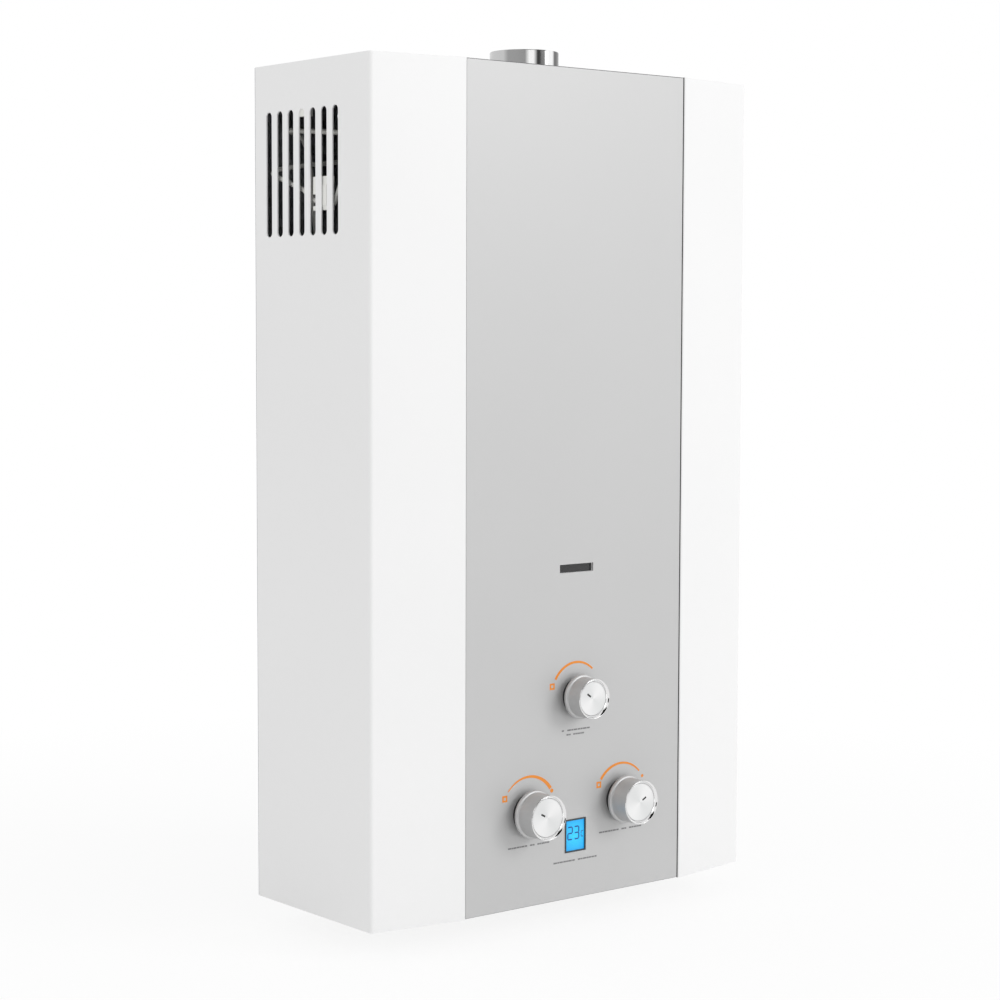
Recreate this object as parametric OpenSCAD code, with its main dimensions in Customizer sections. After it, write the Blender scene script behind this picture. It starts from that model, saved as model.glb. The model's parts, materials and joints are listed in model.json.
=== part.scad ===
// Wall-hung instantaneous gas water heater with a fan flue.
// Millimetres. The origin is the middle of the four wall bolts, on the wall.
// +X is to the right of someone facing the heater, +Y goes into the wall and +Z is up.
// Places are given as x, as depth out from the wall, and as height above the casing's lower edge.

/* [Casing] */
// Width over the two side walls
case_w = 350; // [330:1:420]
// Height of the casing
case_h = 595; // [560:1:680]
// Depth of the side walls, out from the wall
side_d = 139; // [132:1:170]
// How far the folds beside the panel stand out past the side walls
panel_out = 11.5; // [6:0.5:20]
// Width of the recess that holds the silver panel
panel_w = 203; // [190:1:230]
// Thickness of the casing sheet
sheet = 1; // [0.8:0.1:1.4]
// Outside radius of the bend between a side wall and its sloping strip
bend_r = 3; // [2:0.5:6]
// Outside radius of the fold beside the panel
fold_r = 1.4; // [1.2:0.1:2]
// Width of the turned-in flanges at the top and bottom of the cover
flange_w = 12; // [10:1:18]
// Thickness of the silver panel
panel_t = 1.2; // [0.8:0.1:2]
// How far the panel's face sits behind the folds
panel_recess = 1.3; // [0.6:0.1:3]
// Gap round the edge of the panel
panel_gap = 0.6; // [0.3:0.1:1.5]
// Gap between the cover and the plates inside it
plate_gap = 0.3; // [0.1:0.1:1]
// Height of the flanges that join the top and bottom plates to the back plate
turn_h = 18; // [12:1:30]
// Length of the pressed ribs in the back plate
rib_len = 300; // [160:5:310]
// Width of the pressed ribs
rib_w = 14; // [10:1:20]
// Depth of the pressed ribs
rib_deep = 3; // [2:0.5:4]
// Distance of each rib from the nearest row of wall bolts
rib_from_bolts = 20; // [18:1:100]
// Shank diameter of the case screws
screw_d = 4; // [3:0.5:5]
// Length of the case screws under the head
screw_len = 8; // [6:1:12]
// Distance of the cover screws from the middle
cover_screw_x = 70; // [50:1:85]

/* [Wall bolts] */
// Spacing across
bolt_x = 200; // [190:1:220]
// Spacing upwards
bolt_z = 535; // [500:1:550]
// Diameter of the holes
bolt_hole = 8; // [6:0.5:10]

/* [Vent slots] */
// Number of slots in each side
slot_n = 7; // [3:1:8]
// Spacing of the slots
slot_pitch = 13.45; // [11:0.05:15]
// Width of a slot
slot_w = 6.8; // [4:0.1:9]
// Length of a slot
slot_len = 87.4; // [60:0.1:120]
// Depth of the first slot out from the wall
slot_first = 18.4; // [14:0.1:24]
// Distance from the casing's top to the top of the slots
slot_drop = 32.7; // [25:0.1:50]

/* [Sight window] */
// Width of the window
sight_w = 31.5; // [24:0.5:45]
// Height of the window
sight_h = 6; // [4:0.5:10]
// Height of its middle
sight_z = 240.3; // [230:0.1:255]
// Thickness of the glass
glass_t = 3; // [2:0.5:4]
// How far the glass laps past the window
glass_lap = 5; // [3:0.5:8]

/* [Display] */
// Width of the lit area
lcd_w = 17.5; // [15:0.5:26]
// Height of the lit area
lcd_h = 22; // [18:0.5:30]
// Height of its middle
lcd_z = 46.2; // [40:0.1:50]
// Width of the dark rim round it
lcd_rim = 1.1; // [0.8:0.1:2]
// How far the rim stands proud of the panel
lcd_proud = 0.4; // [0.2:0.1:1]
// Thickness of the clear lens
lens_t = 1.6; // [1:0.1:2.5]
// How far the rim's flange laps behind the web
lcd_lap = 3; // [2:0.5:5]
// Depth of the module behind the rim
lcd_deep = 12; // [8:0.5:14]

/* [Knobs] */
// Distance of the gas and water knobs from the middle
knob_x = 44; // [40:0.5:50]
// Height of the gas and water knobs
knob_z = 68; // [64:0.5:80]
// Height of the season knob
season_z = 148; // [140:0.5:160]
// Diameter of the gas and water knobs at the side
knob_d = 32; // [28:0.1:38]
// Diameter of their flanges
knob_flange_d = 35; // [32:0.1:42]
// Diameter of the season knob at the side
season_knob_d = 28.8; // [26:0.1:34]
// Diameter of its flange
season_flange_d = 32; // [29:0.1:38]
// Length of the gas and water knobs, from back to edge
knob_h = 17.4; // [14:0.1:24]
// Length of the season knob
season_knob_h = 15; // [13:0.1:22]
// Gap between a knob and the panel
knob_gap = 5.5; // [1:0.1:8]
// Height of the flange with its slope
knob_flange_h = 2.6; // [2:0.1:4]
// Width of the polished slope from a knob's edge in to its face
knob_bevel = 2.1; // [0.8:0.1:3]
// Depth of the face below the knob's edge
face_deep = 1.8; // [0.4:0.1:3]
// Thickness of the inset face
cap_t = 1.2; // [0.8:0.1:2]
// Play round the inset face
cap_play = 0.1; // [0.05:0.05:0.3]
// Thickness of a knob's wall
knob_wall = 2; // [1.5:0.1:3]
// Diameter of a knob's hub
hub_d = 14; // [12:0.5:18]
// Diameter of the holes in the panel behind the knobs
knob_hole_d = 24; // [18:0.5:26]
// How far the dark bush in each of these holes stays inside the edge of the knob's flange
bush_in = 3.4; // [0.2:0.1:5]
// Gap between the bush and the knob
bush_play = 0.6; // [0.4:0.1:0.8]
// Length of the pointer notch
pointer_len = 4; // [2:0.1:6]
// Width of the pointer notch
pointer_w = 1.3; // [0.8:0.1:2]
// Distance of the notch's near end from the middle of the face
pointer_from = 2.6; // [1:0.1:5]
// Depth of the notch
pointer_deep = 0.4; // [0.2:0.1:0.6]
// Where the gas knob's pointer rests, anticlockwise from three o'clock
gas_rest = 152; // [140:1:160]
// Where the water knob's pointer rests
water_rest = 28; // [20:1:40]
// Where the season knob's pointer rests
season_rest = 145; // [130:1:160]

/* [Valves] */
// Depth of the axis that the two valves share
valve_d = 70; // [66:0.5:74]
// Gap between the cover's web and the front of the valves
valve_gap = 12; // [10:0.5:16]
// Outside diameter of the valve barrels
barrel_d = 44; // [40:0.5:46]
// Length of a barrel outwards from its spindle
barrel_out = 48; // [47.5:0.5:52]
// Length of the gas barrel inwards from its spindle
barrel_in = 31; // [30:0.5:32]
// Diameter of the bosses round the spindles
boss_d = 30; // [26:0.5:32]
// Diameter of the bosses round the ports
port_d = 26; // [24:0.5:28]
// Height of the ports above and below the barrels' axis
port_h = 28; // [26:0.5:30]
// Distance of the ports outwards from the spindles
port_out = 33; // [31:0.5:34]
// Diameter of the ports' bores
port_bore = 13; // [10:0.5:14]
// Diameter of the spindles
spindle_d = 8; // [6:0.5:10]
// Diameter of the plugs on the spindles
plug_d = 12; // [11:0.5:14]
// Length of the plugs on the gas and water spindles
plug_len = 20; // [14:0.5:24]
// Length of the season spindle's plug
season_plug_len = 8; // [6:0.5:9]
// Length of the packing in front of a plug
packing = 4; // [3:0.5:5]
// Play all round a shaft that turns or slides
run_play = 0.06; // [0.03:0.01:0.1]
// Room at the end of a bore
end_play = 1; // [0.5:0.1:2]
// Diameter of the push rod
rod_d = 6; // [5:0.5:8]
// Travel of the push rod
rod_travel = 4; // [3:0.1:4.5]
// Diameter of the gas shutter on the push rod
shutter_d = 22; // [20:0.5:23]
// Thickness of the gas shutter and of the solenoid's disc
shutter_t = 3; // [2:0.1:3.5]
// Gap between a closed disc and its seat
seat_gap = 0.3; // [0.2:0.05:0.5]
// Diameter of the diaphragm's flange
diaphragm_d = 62; // [58:0.5:66]
// Diameter of the diaphragm's chamber
diaphragm_room_d = 46; // [42:0.5:48]
// Thickness of the diaphragm
diaphragm_t = 2; // [1.5:0.1:3]
// Thickness of the diaphragm's cover
valve_cover_t = 14; // [13:0.5:14.5]
// Diameter of the screws through the diaphragm's flange
valve_screw_d = 4; // [3:0.5:5]
// Diameter of the solenoid's coil
solenoid_d = 34; // [28:0.5:36]
// Length of the solenoid's coil
solenoid_len = 36; // [32:0.5:38]
// Diameter of the solenoid's plunger
plunger_d = 9; // [7:0.5:11]
// Travel of the plunger
plunger_travel = 3; // [2:0.1:4]
// Mean diameter of the shutter's spring
spring_d = 17; // [16:0.5:18]
// Wire of the shutter's spring
spring_wire = 1.2; // [1:0.1:1.4]
// Turns of the shutter's spring
spring_turns = 3.5; // [3:0.5:4]

/* [Pipe fittings] */
// Outside diameter of the pipe threads, half-inch pipe
thread_d = 20.955; // [16:0.005:26.5]
// Bore of the fittings
fitting_bore = 14; // [10:0.5:15]
// How far the threads reach below the casing
stub_down = 20; // [16:0.5:22]
// Height of the locknuts
nut_h = 6; // [5:0.5:8]
// How much wider the locknuts' thread is than the pipe thread
shank_step = 3; // [2:0.5:4]
// Thickness of the hexagons round that thread, at their flats
hex_wall = 3; // [2:0.5:4]
// Height of the fittings' hexagon collars
collar_h = 6; // [4:0.5:8]
// Play between a thread and its hole
thread_play = 0.6; // [0.3:0.1:1]
// Depth of the hot outlet out from the wall
hot_d = 38; // [34:0.5:42]
// Distance of the hot outlet from the casing's side
hot_in = 60; // [56:0.5:64]
// Height of the hot outlet's fitting inside the casing
hot_fit_h = 30; // [20:1:40]
// Diameter of the drain plug's stem
drain_d = 10; // [8:0.5:12]
// Diameter of the drain plug's head
drain_head_d = 18; // [15:0.5:22]
// Length of the drain plug's head
drain_head_h = 8; // [6:0.5:10]
// Gap between the drain plug's head and the casing's lower edge
drain_gap = 6; // [3:0.5:8]
// Bore of the cable gland
gland_bore = 7; // [5:0.5:9]
// Diameter of the cable gland
gland_d = 16; // [13:0.5:20]
// Length of the gland below the bottom plate
gland_down = 14; // [10:0.5:18]
// Distance of the gland from the casing's side
gland_in = 45; // [40:0.5:60]
// Depth of the gland out from the wall
gland_at = 60; // [40:1:90]

/* [Heat exchanger] */
// Room beside the combustion shell
side_room = 65; // [60:0.5:75]
// Room behind the combustion shell
back_room = 21; // [20:0.5:26]
// Room in front of the combustion shell
front_room = 21; // [19:0.5:26]
// Radius of the shell's upright corners
shell_r = 5; // [3:0.5:8]
// How far below the sight window the shell starts
deck_drop = 8; // [7:0.5:12]
// Diameter of the water tubes
tube_d = 13; // [10:0.5:14]
// Number of passes, an odd number
tube_n = 5; // [3:2:5]
// Distance of the outer tubes from the shell's front and back
tube_edge = 12; // [10:0.5:15]
// How far below the shell's top the tubes run
tube_drop = 20; // [18:0.5:24]
// How far the tubes reach past the shell before they turn back
tube_out = 6; // [4:0.5:8]
// How far the first and last tubes reach past the shell
tube_end = 14; // [12:0.5:18]
// Play between a tube and its holes
tube_play = 0.1; // [0.05:0.05:0.3]
// Height of the fins
fin_h = 34; // [26:1:36]
// Spacing of the fins
fin_pitch = 8; // [6:0.5:12]
// Thickness of the fins
fin_t = 1; // [0.6:0.1:1.5]
// Gap between the fins and the shell
fin_gap = 2; // [1:0.5:4]
// Distance of the first fin from the shell's side
fin_edge = 10; // [8:0.5:16]
// Diameter of the pipe coiled round the shell
coil_d = 13; // [10:0.5:14]
// Turns of that pipe
coil_turns = 3; // [2:1:3]
// Gap between that pipe and the shell
coil_gap = 0.4; // [0.2:0.1:1]
// Radius of the bends in the other pipes
pipe_bend = 20; // [16:1:24]
// How far above the shell's lower edge the coil starts
coil_up = 30; // [24:1:40]
// How far below the tubes the coil ends
coil_down = 42; // [38:1:50]
// Width of the support brackets
bracket_w = 20; // [14:1:26]
// Thickness of the support brackets
bracket_t = 1.5; // [1:0.1:2]
// Half the height of the brackets' feet
bracket_half = 18; // [12:1:20]
// Distance of the brackets from the middle
bracket_x = 80; // [60:1:90]
// Diameter of the overheat switch
cutout_d = 15; // [12:0.5:18]
// Height that the overheat switch stands off the shell
cutout_h = 8; // [6:0.5:12]
// How far below the tubes the overheat switch sits
cutout_down = 26; // [24:0.5:28]

/* [Burner] */
// Spacing of the burner bars
bar_pitch = 20; // [16:0.5:24]
// Thickness of a burner bar's head
bar_t = 13; // [9:0.5:14]
// Thickness of a burner bar's web
bar_web = 8; // [5:0.5:9]
// Height of a burner bar's head
bar_head_h = 20; // [14:1:26]
// Gap between the bars and the shell
bar_drop = 12; // [10:0.5:14]
// Room between the outer bars and the shell
bar_margin = 8; // [6:0.5:12]
// Diameter of a bar's gas inlet
inlet_d = 12; // [11:0.5:14]
// Bore of a bar's gas inlet
inlet_bore = 9; // [8:0.5:10]
// Depth of a bar's gas inlet
inlet_len = 24; // [16:1:30]
// Width of the flame slot along a bar
flame_slot = 2; // [1:0.5:4]
// Room behind the burner inside the shell's footprint
burner_back = 8; // [6:0.5:12]
// Depth of the gas manifold
manifold_t = 18; // [17:0.5:20]
// Height of the gas manifold
manifold_h = 22; // [20:0.5:26]
// Diameter of the manifold's leg
leg_d = 17; // [14:0.5:18]
// Bore of the manifold's leg
leg_bore = 7; // [5:0.5:9]
// Diameter of the nozzles
nozzle_d = 8; // [6:0.5:9]
// Diameter of the nozzles' tips
nozzle_tip_d = 5; // [4:0.5:6]
// Gap between the manifold and the burner's frame
nozzle_gap = 2; // [1.5:0.1:4]
// Length of the nozzles
nozzle_len = 8; // [6:0.5:10]
// Play between a nozzle and the frame
nozzle_play = 1; // [0.5:0.1:2]
// How far the frame reaches below the manifold's middle
frame_down = 14; // [12:0.5:20]
// Diameter of the electrodes' ceramic
ceramic_d = 7; // [5:0.5:7.5]
// Distance of the electrodes from the middle
electrode_x = 30; // [25:1:40]
// How far below the shell the electrodes pass through the frame
electrode_drop = 5; // [5:0.1:6]
// Length of the ceramic in front of the frame
ceramic_out = 19; // [14:0.5:20]
// Length of the ceramic behind the frame
ceramic_in = 7; // [4:0.5:10]
// Length of the electrodes' bare tips
tip_len = 16; // [10:0.5:24]
// Diameter of the electrodes' bare tips
tip_d = 1.8; // [1.5:0.1:2.5]
// Size of the electrodes' square flanges
electrode_flange = 14; // [10:0.5:16]

/* [Fan and flue] */
// Outside diameter of the flue collar
collar_d = 50; // [44:0.5:52]
// How far the collar stands above the casing
collar_up = 15.5; // [10:0.5:40]
// Thickness of the collar
collar_t = 1; // [0.8:0.1:1.5]
// Depth of the flue's axis out from the wall
flue_d = 88; // [86:0.5:92]
// Diameter of the collar's flange
collar_flange_d = 68; // [64:0.5:74]
// Diameter of the collar's spigot inside the casing
spigot_d = 40; // [30:0.5:40]
// Length of that spigot
spigot_len = 10; // [6:0.5:14]
// Play between the spigot and the top plate
spigot_play = 0.5; // [0.3:0.1:1]
// Distance of the collar's screws from its axis
collar_screw_r = 30; // [29:0.5:31]
// Radius of the fan's impeller
fan_r = 40; // [34:0.5:42]
// Width of the fan's housing
fan_w = 44; // [42:0.5:46]
// Distance of the fan's axis from the flue's axis
fan_off = 42; // [40:0.5:46]
// Distance of the fan's axis below the top plate
fan_drop = 54; // [52:0.5:60]
// Gap between the impeller and the housing's tongue
tongue_gap = 5; // [4:0.5:7]
// Width of the housing's outlet
outlet_w = 50; // [46:0.5:52]
// Gap between the impeller and the housing's sides
fan_gap = 3; // [2:0.5:4]
// Diameter of the housing's inlet
inlet_hole_d = 54; // [44:0.5:60]
// Number of blades
blade_n = 24; // [12:1:32]
// Length of the blades along the radius
blade_len = 7; // [5:0.5:9]
// Thickness of the blades and the impeller's discs
blade_t = 1.4; // [1:0.1:2]
// Diameter of the fan's shaft
shaft_d = 6; // [5:0.5:8]
// Diameter of the impeller's hub
fan_hub_d = 14; // [11:0.5:18]
// Length of the impeller's hub
fan_hub_len = 12; // [8:0.5:16]
// Diameter of the motor
motor_d = 58; // [46:1:62]
// Length of the motor
motor_len = 38; // [30:0.5:42]
// Size of the motor's square flange
motor_flange = 68; // [64:1:70]
// Thickness of that flange
motor_flange_t = 4; // [3:0.5:6]
// Height of the sloping part of the hood
hood_h = 38; // [30:0.5:44]
// Thickness of the fan housing's foot
foot_t = 2; // [1:0.5:5]
// Half the width of the duct in front of the fan
duct_half = 40; // [36:0.5:44]
// Depth of the opening from the hood into the duct, back from the duct's front
duct_deep = 15; // [12:0.5:18]
// Diameter of the draught switch
draught_d = 40; // [32:0.5:42]
// Thickness of the draught switch
draught_t = 18; // [14:0.5:22]
// Diameter of the draught switch's post and its nipple
draught_post_d = 10; // [8:0.5:14]
// Length of that post
draught_post = 18; // [12:0.5:22]
// Diameter of the draught tube
draught_tube_d = 6; // [4:0.5:7]

/* [Electrics] */
// Thickness of the control box
box_t = 28; // [20:0.5:32]
// Depth of the control box
box_deep = 90; // [60:1:100]
// Height of the control box
box_h = 120; // [90:1:140]
// Height of the control box's lower edge
box_z = 290; // [285:1:295]
// Gap between the control box and the casing's side
box_gap = 10; // [6:0.5:14]
// Gap between the harness plug and the casing's side
connector_gap = 0.6; // [0.4:0.1:12]
// Size of the harness plug across
connector_t = 6; // [5:0.5:14]
// Size of the harness plug out from the wall
connector_deep = 17; // [10:0.5:20]
// Height of the harness plug
connector_h = 23; // [16:0.5:28]
// Distance from the casing's top to the top of the harness plug
connector_drop = 80; // [76:0.5:84]
// Depth of the harness plug out from the wall
connector_at = 70.5; // [56:0.5:72]
// Height of the mouth where the fan's lead goes into the plug
mouth_h = 8; // [6:0.5:10]
// Depth of that mouth
mouth_deep = 6; // [4:0.5:8]
// Depth of the middle of the cable tie pad that is stuck to the casing's side
pad_at = 58; // [52:0.5:62]
// Distance from the casing's top to the pad's lower edge
pad_drop = 38; // [36:0.5:42]
// Width and height of the pad
pad_w = 12; // [8:0.5:16]
// Thickness of the pad
pad_t = 5; // [3:0.5:8]
// Diameter of the wires
wire_d = 3.4; // [2:0.1:4]
// Length of the flow switch
switch_len = 20; // [16:0.5:20]
// Width of the flow switch
switch_w = 12; // [10:0.5:14]
// Height of the flow switch
switch_h = 14; // [10:0.5:16]

/* [Hidden] */
$fn = 64;
// How far a cut runs past the face that it opens
over = 1;
mid_z = case_h / 2;
half_w = case_w / 2;
half_panel = panel_w / 2;
front_d = side_d + panel_out;
web_front = front_d - panel_recess - panel_t;
web_back = web_front - sheet;
panel_face = web_front + panel_t;
floor_z = 2 * sheet;
roof_z = case_h - 2 * sheet;
plate_half = half_w - sheet - plate_gap;
plate_front = side_d - sheet - plate_gap;
screw_head_d = 2 * screw_d;
screw_head_h = screw_d / 2;
screw_play = 0.1;
cover_screw_at = side_d - 0.7 * flange_w;

slot_top = case_h - slot_drop - slot_w / 2;
slot_low = case_h - slot_drop - slot_len + slot_w / 2;

knob_back = panel_face + knob_gap;
bush_face = knob_back - bush_play;
valve_front = web_back - valve_gap;
gas_left = -knob_x - barrel_out;
gas_right = -knob_x + barrel_in;
riser_d = valve_front - manifold_t / 2;
plug_end = valve_front - packing - plug_len;
port_low = knob_z - port_h;
port_top = knob_z + port_h;

// The gas barrel's rooms, from the solenoid on the left to the push rod's gland on the right
room_d = barrel_d - 14;
partition_t = 3;
partition_x = -knob_x - 23;
seat_x = -knob_x - 7;
gland_x = -knob_x + 21;
throat_d = 14;

// The water valve, from the diaphragm's cover on the left to the inlet on the right
cover_x = knob_x - valve_cover_t - 21;
diaphragm_x = cover_x + valve_cover_t;
water_left = diaphragm_x + diaphragm_t;
water_right = knob_x + barrel_out;
water_flange_t = 6;
diaphragm_room_t = 8;
plate_d = diaphragm_room_d - 8;
plate_t = 2;
valve_screw_r = (diaphragm_d + diaphragm_room_d) / 4;

// The flow switch and its lever, above the push rod between the valves
trip_x = gas_right + 15;
trip_t = 3;
trip_d = rod_d + 10;
lever_gap = 0.6;
lever_t = 0.8;
lever_w = 8;
lever_x = trip_x - lever_gap - lever_t / 2;
lever_z = knob_z + 15;
lever_low = knob_z + rod_d / 2 + 1.5;
lever_hub_d = 3.6;
lever_pin_d = 1.6;
ear_t = 1.5;
switch_z = lever_z + lever_hub_d / 2 + 0.4;

shell_half = half_w - side_room;
shell_back = back_room;
shell_front = web_back - front_room;
deck_z = sight_z - deck_drop;
fan_x = -fan_off;
fan_z = roof_z - fan_drop;
fan_back = flue_d - fan_w / 2;
fan_front = flue_d + fan_w / 2;
tongue_angle = 70;
tongue_r = fan_r + tongue_gap;
scroll_r = fan_off + outlet_w / 2;
hood_top = fan_z - scroll_radius(270) - foot_t;
shell_top = hood_top - hood_h;
tube_z = shell_top - tube_drop;
tube_step = (shell_front - shell_back - 2 * tube_edge) / (tube_n - 1);
coil_low = deck_z + coil_up;
coil_top = tube_z - coil_down;
coil_x = shell_half + coil_gap + coil_d / 2;
coil_front = shell_front + coil_gap + coil_d / 2;
coil_back = shell_back - coil_gap - coil_d / 2;
coil_start = shell_front - pipe_bend;
coil_bend = shell_r + coil_gap + coil_d / 2;

bar_n = floor(2 * (shell_half - bar_margin) / bar_pitch);
bars_half = bar_n * bar_pitch / 2;
bar_top = deck_z - bar_drop;
manifold_back = valve_front - manifold_t;
frame_front = manifold_back - nozzle_gap;
frame_back = shell_back + burner_back;
electrode_z = deck_z - electrode_drop;

hot_x = -half_w + hot_in;
port_x = knob_x + port_out;
shank_d = thread_d + shank_step;
hex_af = shank_d + 2 * hex_wall;
nut_low = sheet - nut_h;
gland_at_x = half_w - gland_in;
box_right = half_w - sheet - box_gap;
box_left = box_right - box_t;
box_mid = (box_left + box_right) / 2;
connector_left = -half_w + sheet + connector_gap;
connector_mid = connector_left + connector_t / 2;
connector_top = case_h - connector_drop;
connector_low = connector_top - connector_h;
connector_end = connector_at + connector_deep;
mouth_z = connector_low + mouth_h / 2 + 3;
draught_gap = 35;
draught_x = scroll_r + fan_x + draught_d / 2 + draught_gap;
draught_z = fan_z - 9;

// Routes of the pipes and wires, as points of x, depth and height
riser_bend = 20;
hot_run_in = 29;
hot_run_x = -half_w + hot_run_in;
hot_slope = 50;
cold_route = [
    [port_x, valve_d, port_top],
    [port_x, valve_d, port_top + riser_bend],
    [coil_x, valve_d, port_top + riser_bend],
    [coil_x, valve_d, coil_low],
    [coil_x, coil_start, coil_low]];
hot_route = [
    [-shell_half - tube_end, shell_back + tube_edge, tube_z],
    [hot_run_x, shell_back + tube_edge, tube_z],
    [hot_run_x, shell_back + tube_edge, deck_z],
    [hot_x, hot_d, deck_z - hot_slope],
    [hot_x, hot_d, hot_fit_h]];
coil_pitch = (coil_top - coil_low) / coil_turns;
coil_plan = [
    [coil_x, coil_front], [-coil_x, coil_front], [-coil_x, coil_back], [coil_x, coil_back]];
coil_route = concat(
    [[coil_x, coil_start, coil_low]],
    [for (turn = [0:coil_turns - 1]) for (corner = [0:3])
        [coil_plan[corner][0], coil_plan[corner][1],
         coil_low + coil_pitch * (turn + corner / 4)]],
    [[coil_x, coil_start - pipe_bend, coil_top],
     [coil_x + riser_bend, shell_front - tube_edge, coil_top + riser_bend],
     [coil_x + riser_bend, shell_front - tube_edge, tube_z],
     [shell_half + tube_end, shell_front - tube_edge, tube_z]]);
lead_drop = 10;
fan_lead = [
    [connector_mid, connector_at + mouth_deep, mouth_z],
    [connector_mid, connector_at - 3, mouth_z],
    [connector_mid, connector_at - 16, mouth_z + 8],
    [connector_mid, 7, mouth_z + 23],
    [connector_mid + 29, 15, mouth_z + 28],
    [fan_x - motor_d / 2 - 38, 18, fan_z - 8],
    [fan_x - motor_d / 2 - 20, fan_back - 20, fan_z],
    [fan_x - motor_d / 2, fan_back - 20, fan_z]];
main_lead = [
    [connector_mid, connector_end, connector_low + 4],
    [connector_mid, connector_end + 4, connector_low + 4],
    [connector_mid + 1, connector_end + 10, connector_low + 17],
    [connector_mid + 12, connector_end + 13, connector_low + 46],
    [connector_mid + 13, connector_end + 1, connector_low + 53],
    [connector_mid + 13, 12, connector_low + 59],
    [connector_mid + 29, 8, connector_low + 57],
    [connector_mid + 37, 8, connector_low + 44],
    [connector_mid + 44, 9, shell_top + 13],
    [0, 10, shell_top + 13],
    [box_mid - 30, 10, shell_top + 2],
    [box_mid, 40, box_z + box_h + 12],
    [box_mid, 40, box_z + box_h]];
spark_lead = [
    [box_mid, 56, box_z],
    [box_mid, 56, box_z - lead_drop],
    [box_mid, 84, box_z - 50],
    [box_mid - 11, web_back - 9, deck_z - 16],
    [box_mid - 50, web_back - 7, deck_z - 20],
    [0, web_back - 7, deck_z - 20],
    [-electrode_x, web_back - 6, electrode_z - 8],
    [-electrode_x, web_back - 6, electrode_z],
    [-electrode_x, frame_front + ceramic_out, electrode_z]];
flame_lead = [
    [box_mid, 72, box_z],
    [box_mid, 72, box_z - lead_drop],
    [box_mid, 100, box_z - 35],
    [box_mid - 9, web_back - 9, deck_z - 2],
    [box_mid - 60, web_back - 6, deck_z - 8],
    [electrode_x + 16, web_back - 6, electrode_z],
    [electrode_x, web_back - 6, electrode_z],
    [electrode_x, frame_front + ceramic_out, electrode_z]];
display_lead = [
    [box_mid, 28, box_z],
    [box_mid, 28, box_z - lead_drop],
    [box_mid + 1, 40, box_z - 90],
    [box_mid - 2, 100, port_top + 20],
    [box_mid - 40, valve_front - 8, lcd_z + 10],
    [lcd_w + 30, web_back - 9, lcd_z - 6],
    [lcd_w / 2 + lcd_rim + lcd_lap, web_back - 9, lcd_z - 6]];
wire_routes = [fan_lead, main_lead, spark_lead, flame_lead, display_lead];
draught_bend = 25;
tap_up = 21;
draught_route = [
    [draught_x, sheet + draught_post + draught_t + 6, draught_z],
    [draught_x, flue_d - 26, draught_z],
    [draught_x, flue_d - 4, draught_z + 6],
    [draught_x - draught_bend, flue_d, fan_z + tap_up],
    [fan_x + scroll_r, flue_d, fan_z + tap_up]];

// Vectors and outlines

function unit(v) = v / norm(v);
function reversed(list) = [for (i = [len(list) - 1:-1:0]) list[i]];
function right_of(v) = [v[1], -v[0]];
function on_wall(p) = [p[0], -p[1], p[2] - mid_z];
function in_plan(points) = [for (p = points) [p[0], -p[1]]];

// An open outline moved sideways by t, with mitred corners
function shifted(path, t) = [
    for (i = [0:len(path) - 1])
        let (before = i == 0 ? path[1] - path[0] : path[i] - path[i - 1])
        let (after = i == len(path) - 1 ? before : path[i + 1] - path[i])
        let (n1 = right_of(unit(before)), n2 = right_of(unit(after)))
        path[i] + t * (n1 + n2) / (1 + n1 * n2)];

// Points round one corner b, on the way from a to c, in two or three dimensions
function corner(a, b, c, r, steps) =
    let (u = unit(a - b), w = unit(c - b), half = acos(u * w) / 2)
    let (reach = min(r / tan(half), 0.49 * norm(a - b), 0.49 * norm(c - b)))
    let (radius = reach * tan(half), turn = 180 - 2 * half)
    turn < 1 || r == 0 ? [b] :
        let (middle = b + unit(u + w) * radius / sin(half))
        let (v1 = b + u * reach - middle, v2 = b + w * reach - middle)
        [for (i = [0:steps])
            middle + (sin(turn - turn * i / steps) * v1 + sin(turn * i / steps) * v2) / sin(turn)];

// An open outline with a radius at each inner corner
function rounded(path, radii, steps = 5) = concat(
    [path[0]],
    [for (i = [1:len(path) - 2]) each corner(path[i - 1], path[i], path[i + 1], radii[i - 1], steps)],
    [path[len(path) - 1]]);
function bent(path, r) = rounded(path, [for (i = [2:len(path) - 1]) r], 4);

// The fan's scroll grows from its tongue round to its outlet
function scroll_radius(angle) =
    tongue_r + (scroll_r - tongue_r) * (angle - tongue_angle) / (360 - tongue_angle);
function scroll_outline(wall) = concat(
    [for (angle = [tongue_angle:10:360])
        (scroll_radius(angle) - wall) * [cos(angle), sin(angle)]],
    [[scroll_r - wall, fan_drop + (wall > 0 ? over : 0)],
     [fan_off - outlet_w / 2 + wall, fan_drop + (wall > 0 ? over : 0)]]);

// A round tube along a path of points
function tangents(p) = [for (i = [0:len(p) - 1])
    unit(p[min(i + 1, len(p) - 1)] - p[max(i - 1, 0)])];
function first_side(t) = unit(cross(t, abs(t[2]) < 0.9 ? [0, 0, 1] : [1, 0, 0]));
function sides(t, i = 0, s = undef) =
    let (own = i == 0 ? first_side(t[0]) : unit(s - (s * t[i]) * t[i]))
    i == len(t) - 1 ? [own] : concat([own], sides(t, i + 1, own));
module tube_along(path, dia, n) {
    t = tangents(path);
    s = sides(t);
    last = len(path) - 1;
    points = [for (i = [0:last]) for (k = [0:n - 1])
        path[i] + dia / 2 * (cos(360 * k / n) * s[i] + sin(360 * k / n) * cross(t[i], s[i]))];
    walls = [for (i = [0:last - 1]) for (k = [0:n - 1])
        let (a = i * n + k, b = i * n + (k + 1) % n)
        each [[a, a + n, b], [b, a + n, b + n]]];
    start = [for (k = [1:n - 2]) [0, k, k + 1]];
    finish = [for (k = [1:n - 2]) [last * n, last * n + k + 1, last * n + k]];
    polyhedron(points, concat(walls, start, finish), convexity = 10);
}
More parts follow.
